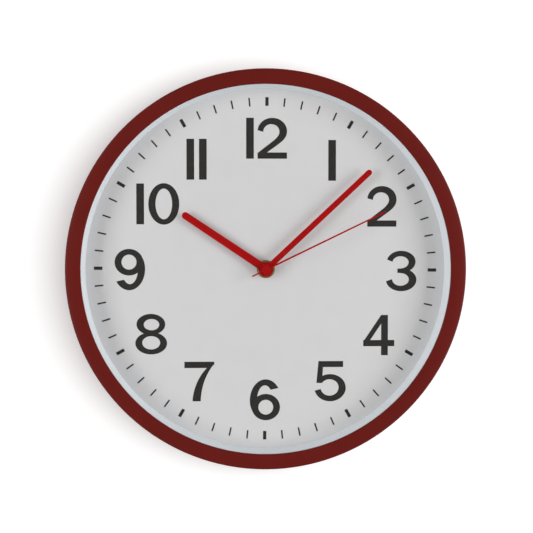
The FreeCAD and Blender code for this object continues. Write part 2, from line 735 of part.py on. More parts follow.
def minute_pipe():
    """The cannon pinion and the pipe that carries the minute hand."""
    flange = rod(MINUTE_FLANGE_RADIUS, *MINUTE_FLANGE)
    pipe = rod(MINUTE_PIPE, MINUTE_FLANGE[0], MINUTE_PIPE_END)
    bore = hole(ARBOR + RUNNING_GAP, MINUTE_FLANGE[0], MINUTE_PIPE_END)
    return joined(pipe, flange, gear(CANNON_PINION)).cut(bore)


def minute_work_wheel():
    """The wheel and pinion between minute and hour, on the arbor that the setting knob turns."""
    at = MINUTE_WORK_AT
    wheel = gear(MINUTE_WORK_WHEEL, at, meshing(CANNON_PINION, MINUTE_WORK_WHEEL, MINUTE_WORK_BEARING))
    pinion = gear(MINUTE_WORK_PINION, at, meshing(HOUR_WHEEL, MINUTE_WORK_PINION, MINUTE_WORK_BEARING))
    return joined(wheel, pinion, rod(MINUTE_WORK_PIN, MINUTE_WORK_PIN_BACK, FRONT_PIVOT, at))


def hour_wheel():
    """The hour wheel and its pipe."""
    shape = joined(gear(HOUR_WHEEL), rod(HOUR_PIPE, HOUR_WHEEL.back, HOUR_PIPE_END))
    return shape.cut(hole(MINUTE_PIPE + RUNNING_GAP, HOUR_WHEEL.back, HOUR_PIPE_END))


def setting_knob():
    """The fluted knob behind the rear cover."""
    at = MINUTE_WORK_AT
    knob = joined(rod(KNOB_RADIUS, *KNOB_DEPTHS, at), rod(KNOB_NECK, KNOB_DEPTHS[1], KNOB_NECK_FRONT, at))
    for number in range(KNOB_FLUTES):
        flute = polar(KNOB_RADIUS, number * 360.0 / KNOB_FLUTES, at)
        knob = knob.cut(hole(FLUTE_RADIUS, *KNOB_DEPTHS, flute))
    return knob.cut(rod(MINUTE_WORK_PIN, MINUTE_WORK_PIN_BACK, KNOB_NECK_FRONT + OVERRUN, at))


def positive_contact():
    """The plate at the cell's button, and its strip along the divider to the board."""
    wall = CASE_HALF - WALL
    face = wall - CONTACT_THICK
    z0 = CELL_ROOM[0] + CONTACT_MARGIN
    z1 = CELL_ROOM[1] - CONTACT_MARGIN
    floor = DIVIDER_Z + WALL / 2 + 2 * COVER_GAP
    ceiling = floor + CONTACT_THICK
    board = BOARD_DEPTHS[0]
    left, right = BOARD_BOX[0] + 5.0, BOARD_BOX[0] + 6.5
    crown = CELL_PLUS + CONTACT_GAP
    centre = Vector(crown, -CELL_PLACE[1], CELL_PLACE[0])
    return joined(
        block(face, wall, z0, z1, *CONTACT_DEPTHS),
        Part.makeCylinder(DIMPLE_RADIUS, wall - crown, centre, Vector(1, 0, 0)),
        block(face, wall, z1, ceiling, *TAIL_DEPTHS),
        block(left, wall, floor, ceiling, *TAIL_DEPTHS),
        block(left, right, floor, ceiling, TAIL_DEPTHS[0], board),
        block(left, right, floor, TAB_TOP, board - CONTACT_THICK, board),
    )


def negative_contact():
    """The plate at the cell's base, with a bowed leaf, and its tail to the board."""
    wall = WALL - CASE_HALF
    face = wall + CONTACT_THICK
    z0 = CELL_ROOM[0] + CONTACT_MARGIN
    z1 = CELL_ROOM[1] - CONTACT_MARGIN
    board = BOARD_DEPTHS[0]
    crown = CELL_MINUS - LEAF_GAP
    middle = CELL_PLACE[1]
    reach = LEAF_HALF_HEIGHT
    inside = reach - CONTACT_THICK
    low = CELL_PLACE[0] - LEAF_HALF_WIDTH
    outer = Part.Arc(
        Vector(face, -middle + reach, low),
        Vector(crown, -middle, low),
        Vector(face, -middle - reach, low),
    )
    inner = Part.Arc(
        Vector(face, -middle - inside, low),
        Vector(crown - LEAF_THICK, -middle, low),
        Vector(face, -middle + inside, low),
    )
    feet = [
        Part.makeLine(Vector(face, -middle - reach, low), Vector(face, -middle - inside, low)),
        Part.makeLine(Vector(face, -middle + inside, low), Vector(face, -middle + reach, low)),
    ]
    section = Part.Face(Part.Wire([outer.toShape(), feet[0], inner.toShape(), feet[1]]))
    return joined(
        block(wall, face, z0, z1, *CONTACT_DEPTHS),
        section.extrude(Vector(0, 0, 2 * LEAF_HALF_WIDTH)),
        block(wall, face, z1, TAB_TOP, *TAIL_DEPTHS),
        block(wall, face, BOARD_BOX[2], TAB_TOP, TAIL_DEPTHS[0], board),
        block(wall, BOARD_BOX[0] + 1.4, BOARD_BOX[2], TAB_TOP, board - CONTACT_THICK, board),
    )


def along_cell(radius, x0, x1):
    """A disc on the cell's axis."""
    return Part.makeCylinder(radius, x1 - x0, Vector(x0, -CELL_PLACE[1], CELL_PLACE[0]), Vector(1, 0, 0))


def cell_body():
    """The sleeved can of the cell."""
    return along_cell(CELL_RADIUS, CELL_MINUS + BASE_HEIGHT, CELL_PLUS - BUTTON_HEIGHT - CAP_HEIGHT)


def cell_positive_cap():
    """The cap and button at the cell's positive end."""
    shoulder = CELL_PLUS - BUTTON_HEIGHT
    cap = along_cell(CAP_RADIUS, shoulder - CAP_HEIGHT, shoulder)
    return joined(cap, along_cell(BUTTON_RADIUS, shoulder, CELL_PLUS))


def cell_negative_cap():
    """The flat cap at the cell's negative end."""
    return along_cell(BASE_RADIUS, CELL_MINUS, CELL_MINUS + BASE_HEIGHT)


def bar(hand, start, end):
    """A tapered bar that points to twelve, with a round tip."""
    root, tip = hand.root / 2, hand.tip / 2
    sides = plate([(-root, start), (root, start), (tip, end - tip), (-tip, end - tip)], hand.back, hand.front)
    return joined(sides, rod(tip, hand.back, hand.front, (0.0, end - tip)))


def hand_blade(hand, bore):
    """A bar with a round eye and a collar for the pipe, pointing to twelve."""
    eye = rod(hand.eye, hand.back, hand.front)
    collar = rod(hand.collar, hand.collar_back, hand.back)
    return joined(bar(hand, 0.0, hand.length), eye, collar).cut(hole(bore, hand.collar_back, hand.front))


def set_to(shape, clock_angle):
    """Turn a hand from twelve to its clock angle."""
    shape.rotate(Vector(0, 0, 0), Vector(0, 1, 0), clock_angle)
    return shape


def hour_hand():
    """The short, wide hand."""
    return set_to(hand_blade(HOUR_HAND, HOUR_PIPE), HOUR_ANGLE)


def minute_hand():
    """The long hand."""
    return set_to(hand_blade(MINUTE_HAND, MINUTE_PIPE), MINUTE_ANGLE)


def second_hand():
    """The thin hand with its tail."""
    half = SECOND_HAND.tip / 2
    back, front = SECOND_HAND.back, SECOND_HAND.front
    end = half - SECOND_TAIL
    blade = bar(SECOND_HAND, 0.0, SECOND_HAND.length)
    tail = plate([(-half, end), (half, end), (half, 0.0), (-half, 0.0)], back, front)
    tail_end = rod(half, back, front, (0.0, end))
    eye = rod(SECOND_HAND.eye, back, front)
    whole = joined(blade, tail, tail_end, eye).cut(hole(ARBOR, back, front))
    return set_to(whole, SECOND_ANGLE)


def second_hand_tube():
    """The brass tube that grips the arbor behind the second hand."""
    return tube(SECOND_HAND.collar, ARBOR, SECOND_HAND.collar_back, SECOND_HAND.back)


def second_hand_cap():
    """The domed button on the second hand."""
    back = SECOND_HAND.front
    front = back + SECOND_CAP_HEIGHT
    radius = SECOND_CAP_RADIUS
    return turned([
        (0.0, back),
        (radius, back),
        (radius, back + 0.4),
        (radius - 0.25, front - 0.3, "arc"),
        (radius - 1.0, front),
        (0.0, front),
    ])


PIECES = {
    "case_ring": case_ring,
    "lens": lens,
    "inner_ring": inner_ring,
    "dial": dial,
    "back_plate": back_plate,
    "case_screws": case_screws,
    "hanger": hanger,
    "rubber_washer": rubber_washer,
    "brass_washer": brass_washer,
    "hex_nut": hex_nut,
    "movement_case": movement_case,
    "rear_cover": rear_cover,
    "threaded_bush": threaded_bush,
    "gear_plate": gear_plate,
    "circuit_board": circuit_board,
    "chip": chip,
    "crystal": crystal,
    "coil_core": coil_core,
    "coil_bobbin": coil_bobbin,
    "coil_winding": coil_winding,
    "stator": stator,
    "rotor_magnet": rotor_magnet,
    "rotor_pinion": rotor_pinion,
    "intermediate_wheel": intermediate_wheel,
    "seconds_wheel": seconds_wheel,
    "seconds_arbor": seconds_arbor,
    "third_wheel": third_wheel,
    "centre_wheel": centre_wheel,
    "clutch_spring": clutch_spring,
    "minute_pipe": minute_pipe,
    "minute_work_wheel": minute_work_wheel,
    "hour_wheel": hour_wheel,
    "setting_knob": setting_knob,
    "positive_contact": positive_contact,
    "negative_contact": negative_contact,
    "cell_body": cell_body,
    "cell_positive_cap": cell_positive_cap,
    "cell_negative_cap": cell_negative_cap,
    "hour_hand": hour_hand,
    "minute_hand": minute_hand,
    "second_hand": second_hand,
    "second_hand_tube": second_hand_tube,
    "second_hand_cap": second_hand_cap,
}

os.makedirs("parts", exist_ok=True)
for node, make in PIECES.items():
    shape = make()
    print(f"{node}: {len(shape.Solids)} solid, {shape.Volume:.1f} mm3, valid {shape.isValid()}")
    shape.exportStep(f"parts/{node}.step")
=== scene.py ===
"""A wall clock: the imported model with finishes, a printed dial, rounded hands and a plain studio.

New pieces are built in millimetres and scaled to metres when they are placed on their body. An outline's
points are (x to the right, z up). A bearing is in degrees clockwise from twelve, seen from the front.
"""
import logging
import math
from dataclasses import dataclass, field
from enum import Enum
from typing import Sequence

import bmesh
import bpy
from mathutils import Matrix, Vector


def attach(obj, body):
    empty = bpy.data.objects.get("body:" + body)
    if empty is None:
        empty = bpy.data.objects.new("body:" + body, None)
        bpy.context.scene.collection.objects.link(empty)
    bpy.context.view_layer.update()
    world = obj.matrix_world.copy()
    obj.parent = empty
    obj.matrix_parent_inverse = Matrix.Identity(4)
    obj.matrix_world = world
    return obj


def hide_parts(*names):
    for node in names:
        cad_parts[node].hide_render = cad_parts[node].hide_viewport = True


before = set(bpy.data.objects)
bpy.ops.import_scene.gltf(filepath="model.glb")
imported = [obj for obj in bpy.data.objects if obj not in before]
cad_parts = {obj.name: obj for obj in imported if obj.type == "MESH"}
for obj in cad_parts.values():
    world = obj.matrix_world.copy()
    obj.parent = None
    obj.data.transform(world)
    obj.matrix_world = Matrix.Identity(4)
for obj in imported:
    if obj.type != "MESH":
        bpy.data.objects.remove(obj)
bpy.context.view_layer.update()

log = logging.getLogger("wall_clock")

Point = tuple[float, float]
Colour = tuple[float, float, float]
Patch = list[Point]

METRES_PER_MM = 0.001
CASE_BODY = "case"
FULL_TURN = 360.0
SMOOTH_BELOW = 35.0
BEVEL_ABOVE = 40.0
ROUNDING_STEPS = 8
CUT_MARGIN = 1.0

NOISE_LOW, NOISE_HIGH = 0.3, 0.7
PATCH_DETAIL, GLOSS_DETAIL, GRAIN_DETAIL, LACQUER_DETAIL = 5.0, 6.0, 4.0, 1.0
COAT_ROUGHNESS = 0.25
LEAST_ROUGHNESS = 0.02
GLOSS_FINENESS = 3.0
GRAIN_ROUGHNESS = 0.55
NOISE_IN_GRAIN = 0.5
BRUSH_STRETCH = 0.04
CELL_FINENESS = 0.7
LINES_PER_GRAIN = 3.2
LINE_WAVER, LINE_DETAIL = 0.6, 2.0


# -------------------- finishes


class Surface(Enum):
    """The kinds of fine relief that a finish can have."""

    MOULDED = "moulded"
    LACQUERED = "lacquered"
    PAPER = "paper"
    BRUSHED = "brushed"
    TURNED = "turned"
    WOUND = "wound"


class NodeBench:
    """Adds and links the shader nodes of one material."""

    def __init__(self, name: str) -> None:
        """Makes the material and clears its tree.

        Args:
            name: The material's name.
        """
        self.material: bpy.types.Material = bpy.data.materials.new(name)
        self.material.use_nodes = True
        self.tree: bpy.types.NodeTree = self.material.node_tree
        self.tree.nodes.clear()

    def add(self, kind: str, **inputs: object) -> bpy.types.Node:
        """Adds a node and sets its named input sockets.

        Args:
            kind: The node's Blender type.
            **inputs: Socket names, with spaces as underscores, and their values.

        Returns:
            The new node.
        """
        node = self.tree.nodes.new(kind)
        for label, value in inputs.items():
            node.inputs[label.replace("_", " ")].default_value = value
        return node

    def link(self, out: bpy.types.NodeSocket, into: bpy.types.NodeSocket) -> None:
        """Links an output socket to an input socket."""
        self.tree.links.new(out, into)


@dataclass(frozen=True)
class Finish:
    """One finish: its colour, gloss and fine relief, all procedural.

    Attributes:
        name: The material's name.
        slot: The record's material slot that the finish belongs to. Not used.
        colour: Linear base colour.
        roughness: Middle value of the surface roughness.
        surface: The kind of fine relief.
        metallic: 1 for bare metal.
        wander: Share by which the colour lightens and darkens over its patches.
        patch_mm: Size of those patches.
        grain_mm: Size of the fine grain.
        relief_mm: Height of the fine grain.
        polish: Swing of the roughness, up and down.
        specular: Strength of the plain reflection.
        coat: Weight of a clear coat.
        alpha: Share of light that the surface stops.
    """

    name: str
    slot: str
    colour: Colour
    roughness: float
    surface: Surface = Surface.MOULDED
    metallic: float = 0.0
    wander: float = 0.08
    patch_mm: float = 18.0
    grain_mm: float = 0.4
    relief_mm: float = 0.01
    polish: float = 0.06
    specular: float = 0.5
    coat: float = 0.0
    alpha: float = 1.0

    def shaded(self, share: float) -> tuple[float, float, float, float]:
        """The base colour made lighter or darker by a share, as four numbers."""
        return (*(max(0.0, channel * (1.0 + share)) for channel in self.colour), 1.0)

    def relief_height(self, bench: NodeBench, place: bpy.types.NodeSocket) -> bpy.types.NodeSocket:
        """Adds the fine relief of this finish's surface kind.

        Args:
            bench: The material's bench.
            place: Object coordinates in metres.

        Returns:
            The socket that gives the relief's height, from 0 to 1.
        """
        per_metre = 1.0 / (self.grain_mm * METRES_PER_MM)
        if self.surface in (Surface.TURNED, Surface.WOUND):
            scale = per_metre / LINES_PER_GRAIN
            wave = bench.add("ShaderNodeTexWave", Scale=scale, Distortion=LINE_WAVER, Detail=LINE_DETAIL)
            wave.wave_type = "RINGS" if self.surface is Surface.TURNED else "BANDS"
            if self.surface is Surface.TURNED:
                wave.rings_direction = "Y"
            else:
                wave.bands_direction = "Z"
            bench.link(place, wave.inputs["Vector"])
            return wave.outputs["Fac"]
        stretch = bench.add("ShaderNodeMapping")
        if self.surface is Surface.BRUSHED:
            stretch.inputs["Scale"].default_value = (1.0, 1.0, BRUSH_STRETCH)
        bench.link(place, stretch.inputs["Vector"])
        detail = LACQUER_DETAIL if self.surface is Surface.LACQUERED else GRAIN_DETAIL
        noise = bench.add("ShaderNodeTexNoise", Scale=per_metre, Detail=detail, Roughness=GRAIN_ROUGHNESS)
        bench.link(stretch.outputs["Vector"], noise.inputs["Vector"])
        if self.surface is not Surface.MOULDED:
            return noise.outputs["Fac"]
        cells = bench.add("ShaderNodeTexVoronoi", Scale=per_metre * CELL_FINENESS)
        cells.feature = "SMOOTH_F1"
        bench.link(stretch.outputs["Vector"], cells.inputs["Vector"])
        both = bench.add("ShaderNodeMath")
        both.operation = "MULTIPLY_ADD"
        both.inputs[1].default_value = NOISE_IN_GRAIN
        bench.link(noise.outputs["Fac"], both.inputs[0])
        bench.link(cells.outputs["Distance"], both.inputs[2])
        return both.outputs[0]

    def material(self) -> bpy.types.Material:
        """Makes this finish's material, or finds the one made before.

        Returns:
            The material.
        """
        made = bpy.data.materials.get(self.name)
        if made is not None:
            return made
        bench = NodeBench(self.name)
        place = bench.add("ShaderNodeTexCoord").outputs["Object"]
        shader = bench.add("ShaderNodeBsdfPrincipled", Metallic=self.metallic, Alpha=self.alpha)
        shader.inputs["Specular IOR Level"].default_value = self.specular
        shader.inputs["Coat Weight"].default_value = self.coat
        shader.inputs["Coat Roughness"].default_value = COAT_ROUGHNESS

        patches_per_metre = 1.0 / (self.patch_mm * METRES_PER_MM)
        slow = bench.add("ShaderNodeTexNoise", Scale=patches_per_metre, Detail=PATCH_DETAIL)
        bench.link(place, slow.inputs["Vector"])
        ramp = bench.add("ShaderNodeValToRGB")
        ramp.color_ramp.elements[0].position = NOISE_LOW
        ramp.color_ramp.elements[0].color = self.shaded(-self.wander)
        ramp.color_ramp.elements[1].position = NOISE_HIGH
        ramp.color_ramp.elements[1].color = self.shaded(self.wander)
        bench.link(slow.outputs["Fac"], ramp.inputs["Fac"])
        bench.link(ramp.outputs["Color"], shader.inputs["Base Color"])

        fineness = GLOSS_FINENESS * patches_per_metre
        gloss = bench.add("ShaderNodeTexNoise", Scale=fineness, Detail=GLOSS_DETAIL)
        bench.link(place, gloss.inputs["Vector"])
        swing = bench.add("ShaderNodeMapRange")
        swing.inputs["From Min"].default_value = NOISE_LOW
        swing.inputs["From Max"].default_value = NOISE_HIGH
        swing.inputs["To Min"].default_value = max(LEAST_ROUGHNESS, self.roughness - self.polish)
        swing.inputs["To Max"].default_value = min(1.0, self.roughness + self.polish)
        bench.link(gloss.outputs["Fac"], swing.inputs["Value"])
        bench.link(swing.outputs["Result"], shader.inputs["Roughness"])

        bump = bench.add("ShaderNodeBump", Strength=1.0, Distance=self.relief_mm * METRES_PER_MM)
        bench.link(self.relief_height(bench, place), bump.inputs["Height"])
        bench.link(bump.outputs["Normal"], shader.inputs["Normal"])

        out = bench.add("ShaderNodeOutputMaterial")
        bench.link(shader.outputs["BSDF"], out.inputs["Surface"])
        return bench.material


BURGUNDY = Finish("burgundy_moulded", "case_plastic", (0.122, 0.0055, 0.003), 0.52, wander=0.05,
                  patch_mm=30.0, grain_mm=0.5, relief_mm=0.012, specular=0.15)
CLEAR_LENS = Finish("clear_lens", "lens_glass", (0.03, 0.034, 0.036), 0.06, Surface.LACQUERED, wander=0.02,
                    patch_mm=60.0, grain_mm=9.0, relief_mm=0.01, polish=0.03, alpha=0.04)
SPACER_WHITE = Finish("spacer_white", "ring_plastic", (0.83, 0.878, 0.912), 0.5, wander=0.01, patch_mm=25.0,
                      grain_mm=0.6, relief_mm=0.005, specular=0.2)
DIAL_PAPER = Finish("dial_paper", "dial_print", (0.717, 0.712, 0.714), 0.7, Surface.PAPER, wander=0.012,
                    patch_mm=12.0, grain_mm=0.25, relief_mm=0.006, specular=0.25)
DIAL_INK = Finish("dial_ink", "dial_print", (0.0165, 0.0145, 0.012), 0.5, Surface.PAPER, wander=0.15,
                  patch_mm=3.0, grain_mm=0.2, relief_mm=0.004, specular=0.35)
HAND_RED = Finish("hand_red", "hand_paint", (0.395, 0.0022, 0.0022), 0.45, Surface.LACQUERED, wander=0.05,
                  patch_mm=14.0, grain_mm=0.8, relief_mm=0.006, specular=0.05)
TURNED_BRASS = Finish("turned_brass", "brass", (0.36, 0.25, 0.09), 0.32, Surface.TURNED, metallic=1.0,
                      wander=0.12, patch_mm=3.0, grain_mm=0.12, relief_mm=0.004)
PLATED_STEEL = Finish("plated_steel", "steel", (0.55, 0.56, 0.58), 0.36, Surface.BRUSHED, metallic=1.0,
                      wander=0.05, patch_mm=4.0, grain_mm=0.15, relief_mm=0.004, polish=0.04)
BACK_BLACK = Finish("back_moulded", "back_plastic", (0.062, 0.062, 0.066), 0.5, wander=0.14, patch_mm=22.0,
                    grain_mm=0.7, relief_mm=0.03)
MOVEMENT_BLACK = Finish("movement_moulded", "movement_plastic", (0.026, 0.026, 0.029), 0.42, wander=0.18,
                        patch_mm=9.0, grain_mm=0.35, relief_mm=0.02)
SOFT_RUBBER = Finish("soft_rubber", "rubber", (0.02, 0.02, 0.021), 0.75, wander=0.2, patch_mm=3.0,
                     grain_mm=0.3, relief_mm=0.02)
ACETAL = Finish("natural_acetal", "train_plastic", (0.79, 0.77, 0.69), 0.4, wander=0.05, patch_mm=4.0,
                grain_mm=0.25, relief_mm=0.006)
LAMINATE = Finish("paper_laminate", "board", (0.2, 0.12, 0.045), 0.6, Surface.PAPER, wander=0.2, patch_mm=2.0,
                  grain_mm=0.3, relief_mm=0.008)
CAST_RESIN = Finish("cast_resin", "resin", (0.011, 0.011, 0.012), 0.25, Surface.LACQUERED, wander=0.2,
                    patch_mm=2.5, grain_mm=1.2, relief_mm=0.03)
ENAMELLED_WIRE = Finish("enamelled_wire", "copper", (0.58, 0.2, 0.075), 0.3, Surface.WOUND, metallic=1.0,
                        wander=0.15, patch_mm=2.0, grain_mm=0.12, relief_mm=0.03)
STAMPED_IRON = Finish("stamped_iron", "soft_iron", (0.35, 0.35, 0.36), 0.42, Surface.BRUSHED, metallic=1.0,
                      wander=0.12, patch_mm=4.0, grain_mm=0.2, relief_mm=0.006)
SINTERED_MAGNET = Finish("sintered_magnet", "magnet", (0.1, 0.1, 0.11), 0.65, metallic=0.6, wander=0.25,
                         patch_mm=1.0, grain_mm=0.1, relief_mm=0.01)
NICKEL = Finish("nickel_plate", "contact_steel", (0.62, 0.6, 0.56), 0.24, Surface.BRUSHED, metallic=1.0,
                wander=0.1, patch_mm=3.0, grain_mm=0.12, relief_mm=0.003, polish=0.08)
CELL_SLEEVE = Finish("cell_sleeve", "cell_sleeve", (0.09, 0.1, 0.12), 0.3, Surface.LACQUERED, wander=0.1,
                     patch_mm=10.0, grain_mm=2.0, relief_mm=0.01, coat=0.3)
CELL_BAND = Finish("cell_band", "cell_sleeve", (0.4, 0.42, 0.44), 0.32, Surface.LACQUERED, wander=0.08,
                   patch_mm=10.0, grain_mm=2.0, relief_mm=0.01, coat=0.3)


def dress(finish: Finish, *nodes: str) -> None:
    """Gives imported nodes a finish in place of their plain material.

    Args:
        finish: The finish.
        *nodes: The nodes' names.
    """
    for name in nodes:
        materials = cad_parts[name].data.materials
        materials.clear()
        materials.append(finish.material())
        log.info("node %s: %s", name, finish.name)


# -------------------- meshes


def turned_point(radius: float, bearing: float, centre: Point = (0.0, 0.0)) -> Point:
    """A point at a clock bearing, in degrees clockwise from the top, seen from the front."""
    angle = math.radians(bearing)
    return (centre[0] + radius * math.sin(angle), centre[1] + radius * math.cos(angle))


def circle(radius: float, count: int, centre: Point = (0.0, 0.0)) -> Patch:
    """The corners of a many-sided circle."""
    return [turned_point(radius, FULL_TURN * step / count, centre) for step in range(count)]


def along_bearing(outline: Sequence[Point], bearing: float) -> Patch:
    """Turns points of (distance along a bearing, distance to its clockwise side) into x and z."""
    along, across = turned_point(1.0, bearing), turned_point(1.0, bearing + 90.0)
    return [(along[0] * u + across[0] * v, along[1] * u + across[1] * v) for u, v in outline]


def arc(centre: Point, radii: Point, start: float, end: float, steps: int) -> Patch:
    """Points along part of an ellipse, at angles in degrees anticlockwise from the right."""
    turns = [math.radians(start + (end - start) * step / steps) for step in range(steps + 1)]
    return [(centre[0] + radii[0] * math.cos(turn), centre[1] + radii[1] * math.sin(turn)) for turn in turns]


def link_mesh(name: str, bm: bmesh.types.BMesh) -> bpy.types.Object:
    """Turns a bmesh into an object in the scene.

    Args:
        name: The object's name.
        bm: The mesh, which is freed.

    Returns:
        The object.
    """
    mesh = bpy.data.meshes.new(name)
    bmesh.ops.recalc_face_normals(bm, faces=bm.faces)
    bm.to_mesh(mesh)
    bm.free()
    made = bpy.data.objects.new(name, mesh)
    bpy.context.scene.collection.objects.link(made)
    return made


def add_plate(bm: bmesh.types.BMesh, outline: Sequence[Point], back: float, front: float) -> None:
    """Adds a flat plate to a mesh.

    Args:
        bm: The mesh.
        outline: Corners of the plate.
        back: Distance of the back face from the wall.
        front: Distance of the front face from the wall.
    """
    rear = [bm.verts.new((x, -back, z)) for x, z in outline]
    fore = [bm.verts.new((x, -front, z)) for x, z in outline]
    bm.faces.new(rear)
    bm.faces.new(list(reversed(fore)))
    count = len(outline)
    for step in range(count):
        after = (step + 1) % count
        bm.faces.new((rear[step], fore[step], fore[after], rear[after]))


def prism(name: str, outline: Sequence[Point], back: float, front: float) -> bpy.types.Object:
    """A flat plate with a given outline, in millimetres.

    Args:
        name: The object's name.
        outline: Corners of the plate.
        back: Distance of the back face from the wall.
        front: Distance of the front face from the wall.

    Returns:
        The object.
    """
    bm = bmesh.new()
    add_plate(bm, outline, back, front)
    return link_mesh(name, bm)


def lathe(name: str, profile: Sequence[Point], sides: int, centre: Point = (0.0, 0.0)) -> bpy.types.Object:
    """A solid turned about an axis that points at the wall, in millimetres.

    Args:
        name: The object's name.
        profile: Closed loop of (radius, distance from the wall). Points on the axis have radius 0.
        sides: Number of sides round the axis.
        centre: The axis, as x and z.

    Returns:
        The object.
    """
    bm = bmesh.new()
    rings: list[list[bmesh.types.BMVert]] = []
    for radius, depth in profile:
        if radius <= 0.0:
            rings.append([bm.verts.new((centre[0], -depth, centre[1]))])
            continue
        rings.append([bm.verts.new((x, -depth, z)) for x, z in circle(radius, sides, centre)])
    pairs = list(zip(rings, rings[1:]))
    if profile[0][0] > 0.0:
        pairs.append((rings[-1], rings[0]))
    for one, two in pairs:
        for step in range(sides):
            after = (step + 1) % sides
            near = [one[step % len(one)], two[step % len(two)]]
            far = [two[after % len(two)], one[after % len(one)]]
            unique = list(dict.fromkeys(near + far))
            if len(unique) > 2:
                bm.faces.new(unique)
    return link_mesh(name, bm)


def baked(piece: bpy.types.Object) -> bpy.types.Mesh:
    """The mesh that a piece has after its modifiers."""
    bpy.context.view_layer.update()
    return bpy.data.meshes.new_from_object(piece.evaluated_get(bpy.context.evaluated_depsgraph_get()))


def combined(name: str, solids: Sequence[bpy.types.Object],
             cuts: Sequence[bpy.types.Object] = ()) -> bpy.types.Object:
    """Joins solids into one and cuts others out of it.

    Args:
        name: The result's name.
        solids: The solids to join. They are used up.
        cuts: The solids to cut out. They are used up.

    Returns:
        The object.
    """
    base = solids[0]
    steps = [(tool, "UNION") for tool in solids[1:]] + [(tool, "DIFFERENCE") for tool in cuts]
    for tool, operation in steps:
        step = base.modifiers.new(tool.name, "BOOLEAN")
        step.object = tool
        step.operation = operation
        step.solver = "EXACT"
    mesh = baked(base)
    for used in (*solids, *cuts):
        bpy.data.meshes.remove(used.data)
    mesh.name = name
    made = bpy.data.objects.new(name, mesh)
    bpy.context.scene.collection.objects.link(made)
    return made


def rounded(piece: bpy.types.Object, width_mm: float, segments: int = 3) -> None:
    """Adds a bevel to a piece's sharp edges. The piece is still in millimetres.

    Args:
        piece: The piece.
        width_mm: The bevel's width.
        segments: Number of strips in the bevel.
    """
    bevel = piece.modifiers.new("rounded_edges", "BEVEL")
    bevel.width = width_mm
    bevel.segments = segments
    bevel.limit_method = "ANGLE"
    bevel.angle_limit = math.radians(BEVEL_ABOVE)
    bevel.harden_normals = False
    mesh = baked(piece)
    piece.modifiers.clear()
    piece.data = mesh


def place(piece: bpy.types.Object, finish: Finish, body: str, *stands_for: str) -> bpy.types.Object:
    """Scales a piece from millimetres, smooths and finishes it, and lets it ride on its body.

    Args:
        piece: The piece, in millimetres.
        finish: Its finish.
        body: The body that it moves with.
        *stands_for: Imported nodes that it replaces.

    Returns:
        The piece.
    """
    for vertex in piece.data.vertices:
        vertex.co *= METRES_PER_MM
    piece.data.shade_smooth()
    piece.data.set_sharp_from_angle(angle=math.radians(SMOOTH_BELOW))
    piece.data.materials.clear()
    piece.data.materials.append(finish.material())
    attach(piece, body)
    if stands_for:
        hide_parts(*stands_for)
    log.info("piece %s on %s: %s", piece.name, body, finish.name)
    return piece


# -------------------- numerals


@dataclass(frozen=True)
class Oval:
    """Part of an ellipse, in shares of a numeral's height. Angles turn anticlockwise from the right."""

    centre: Point
    radii: Point
    start: float = 0.0
    end: float = FULL_TURN

    def points(self, count: int) -> Patch:
        """Points from the start angle to the end angle, both included."""
        return arc(self.centre, self.radii, self.start, self.end, count)


@dataclass(frozen=True)
class Sweep:
    """A smooth curve with two ends and two handles, in shares of a numeral's height."""

    first: Point
    first_handle: Point
    last_handle: Point
    last: Point

    def points(self, count: int) -> Patch:
        """Points from the first end to the last.

        Args:
            count: Number of steps between them.

        Returns:
            The points, both ends included.
        """
        found = []
        for step in range(count + 1):
            t = step / count
            weights = ((1 - t) ** 3, 3 * t * (1 - t) ** 2, 3 * t * t * (1 - t), t ** 3)
            corners = (self.first, self.first_handle, self.last_handle, self.last)
            found.append((sum(w * c[0] for w, c in zip(weights, corners)),
                          sum(w * c[1] for w, c in zip(weights, corners))))
        return found


Edge = Oval | Sweep
CURVE_STEPS = 40


def band(outer: Edge, inner: Edge) -> Patch:
    """A stroke between two curves that run the same way."""
    return outer.points(CURVE_STEPS) + list(reversed(inner.points(CURVE_STEPS)))


def block(left: float, low: float, right: float, high: float) -> Patch:
    """An upright rectangle."""
    return [(left, low), (right, low), (right, high), (left, high)]


@dataclass(frozen=True)
class Digit:
    """A digit as filled patches and the holes in them, in shares of its height.

    Attributes:
        width: The digit's width.
        patches: Overlapping filled outlines.
        holes: Outlines of its counters.
        scale: The digit's height as a share of the common height.
    """

    width: float
    patches: tuple[Patch, ...]
    holes: tuple[Patch, ...] = ()
    scale: float = 1.0

    def turned(self) -> "Digit":
        """The digit turned half round.

        Returns:
            The turned digit.
        """
        patches, holes = (tuple([(self.width - x, 1.0 - z) for x, z in patch] for patch in group)
                          for group in (self.patches, self.holes))
        return Digit(self.width, patches, holes, self.scale)


def ring_of(oval: Oval) -> Patch:
    """The closed outline of a whole ellipse."""
    return oval.points(2 * CURVE_STEPS)[:-1]


# A tall oval ring.
ZERO = Digit(0.745, (ring_of(Oval((0.3725, 0.5), (0.3725, 0.5))),),
             (ring_of(Oval((0.3725, 0.5), (0.201, 0.371))),), scale=1.015)

# A plain upright bar.
ONE = Digit(0.187, (block(0.0, 0.0, 0.187, 1.0),))

# An open hook over a curved diagonal and a foot.
TWO = Digit(0.722, (
    band(Oval((0.361, 0.673), (0.361, 0.327), 176.0, 0.0),
         Oval((0.337, 0.667), (0.198, 0.178), 183.0, 1.5)),
    band(Sweep((0.722, 0.674), (0.722, 0.47), (0.56, 0.395), (0.2, 0.130)),
         Sweep((0.537, 0.674), (0.537, 0.50), (0.345, 0.425), (0.0, 0.136))),
    block(0.0, 0.0, 0.72, 0.152)))

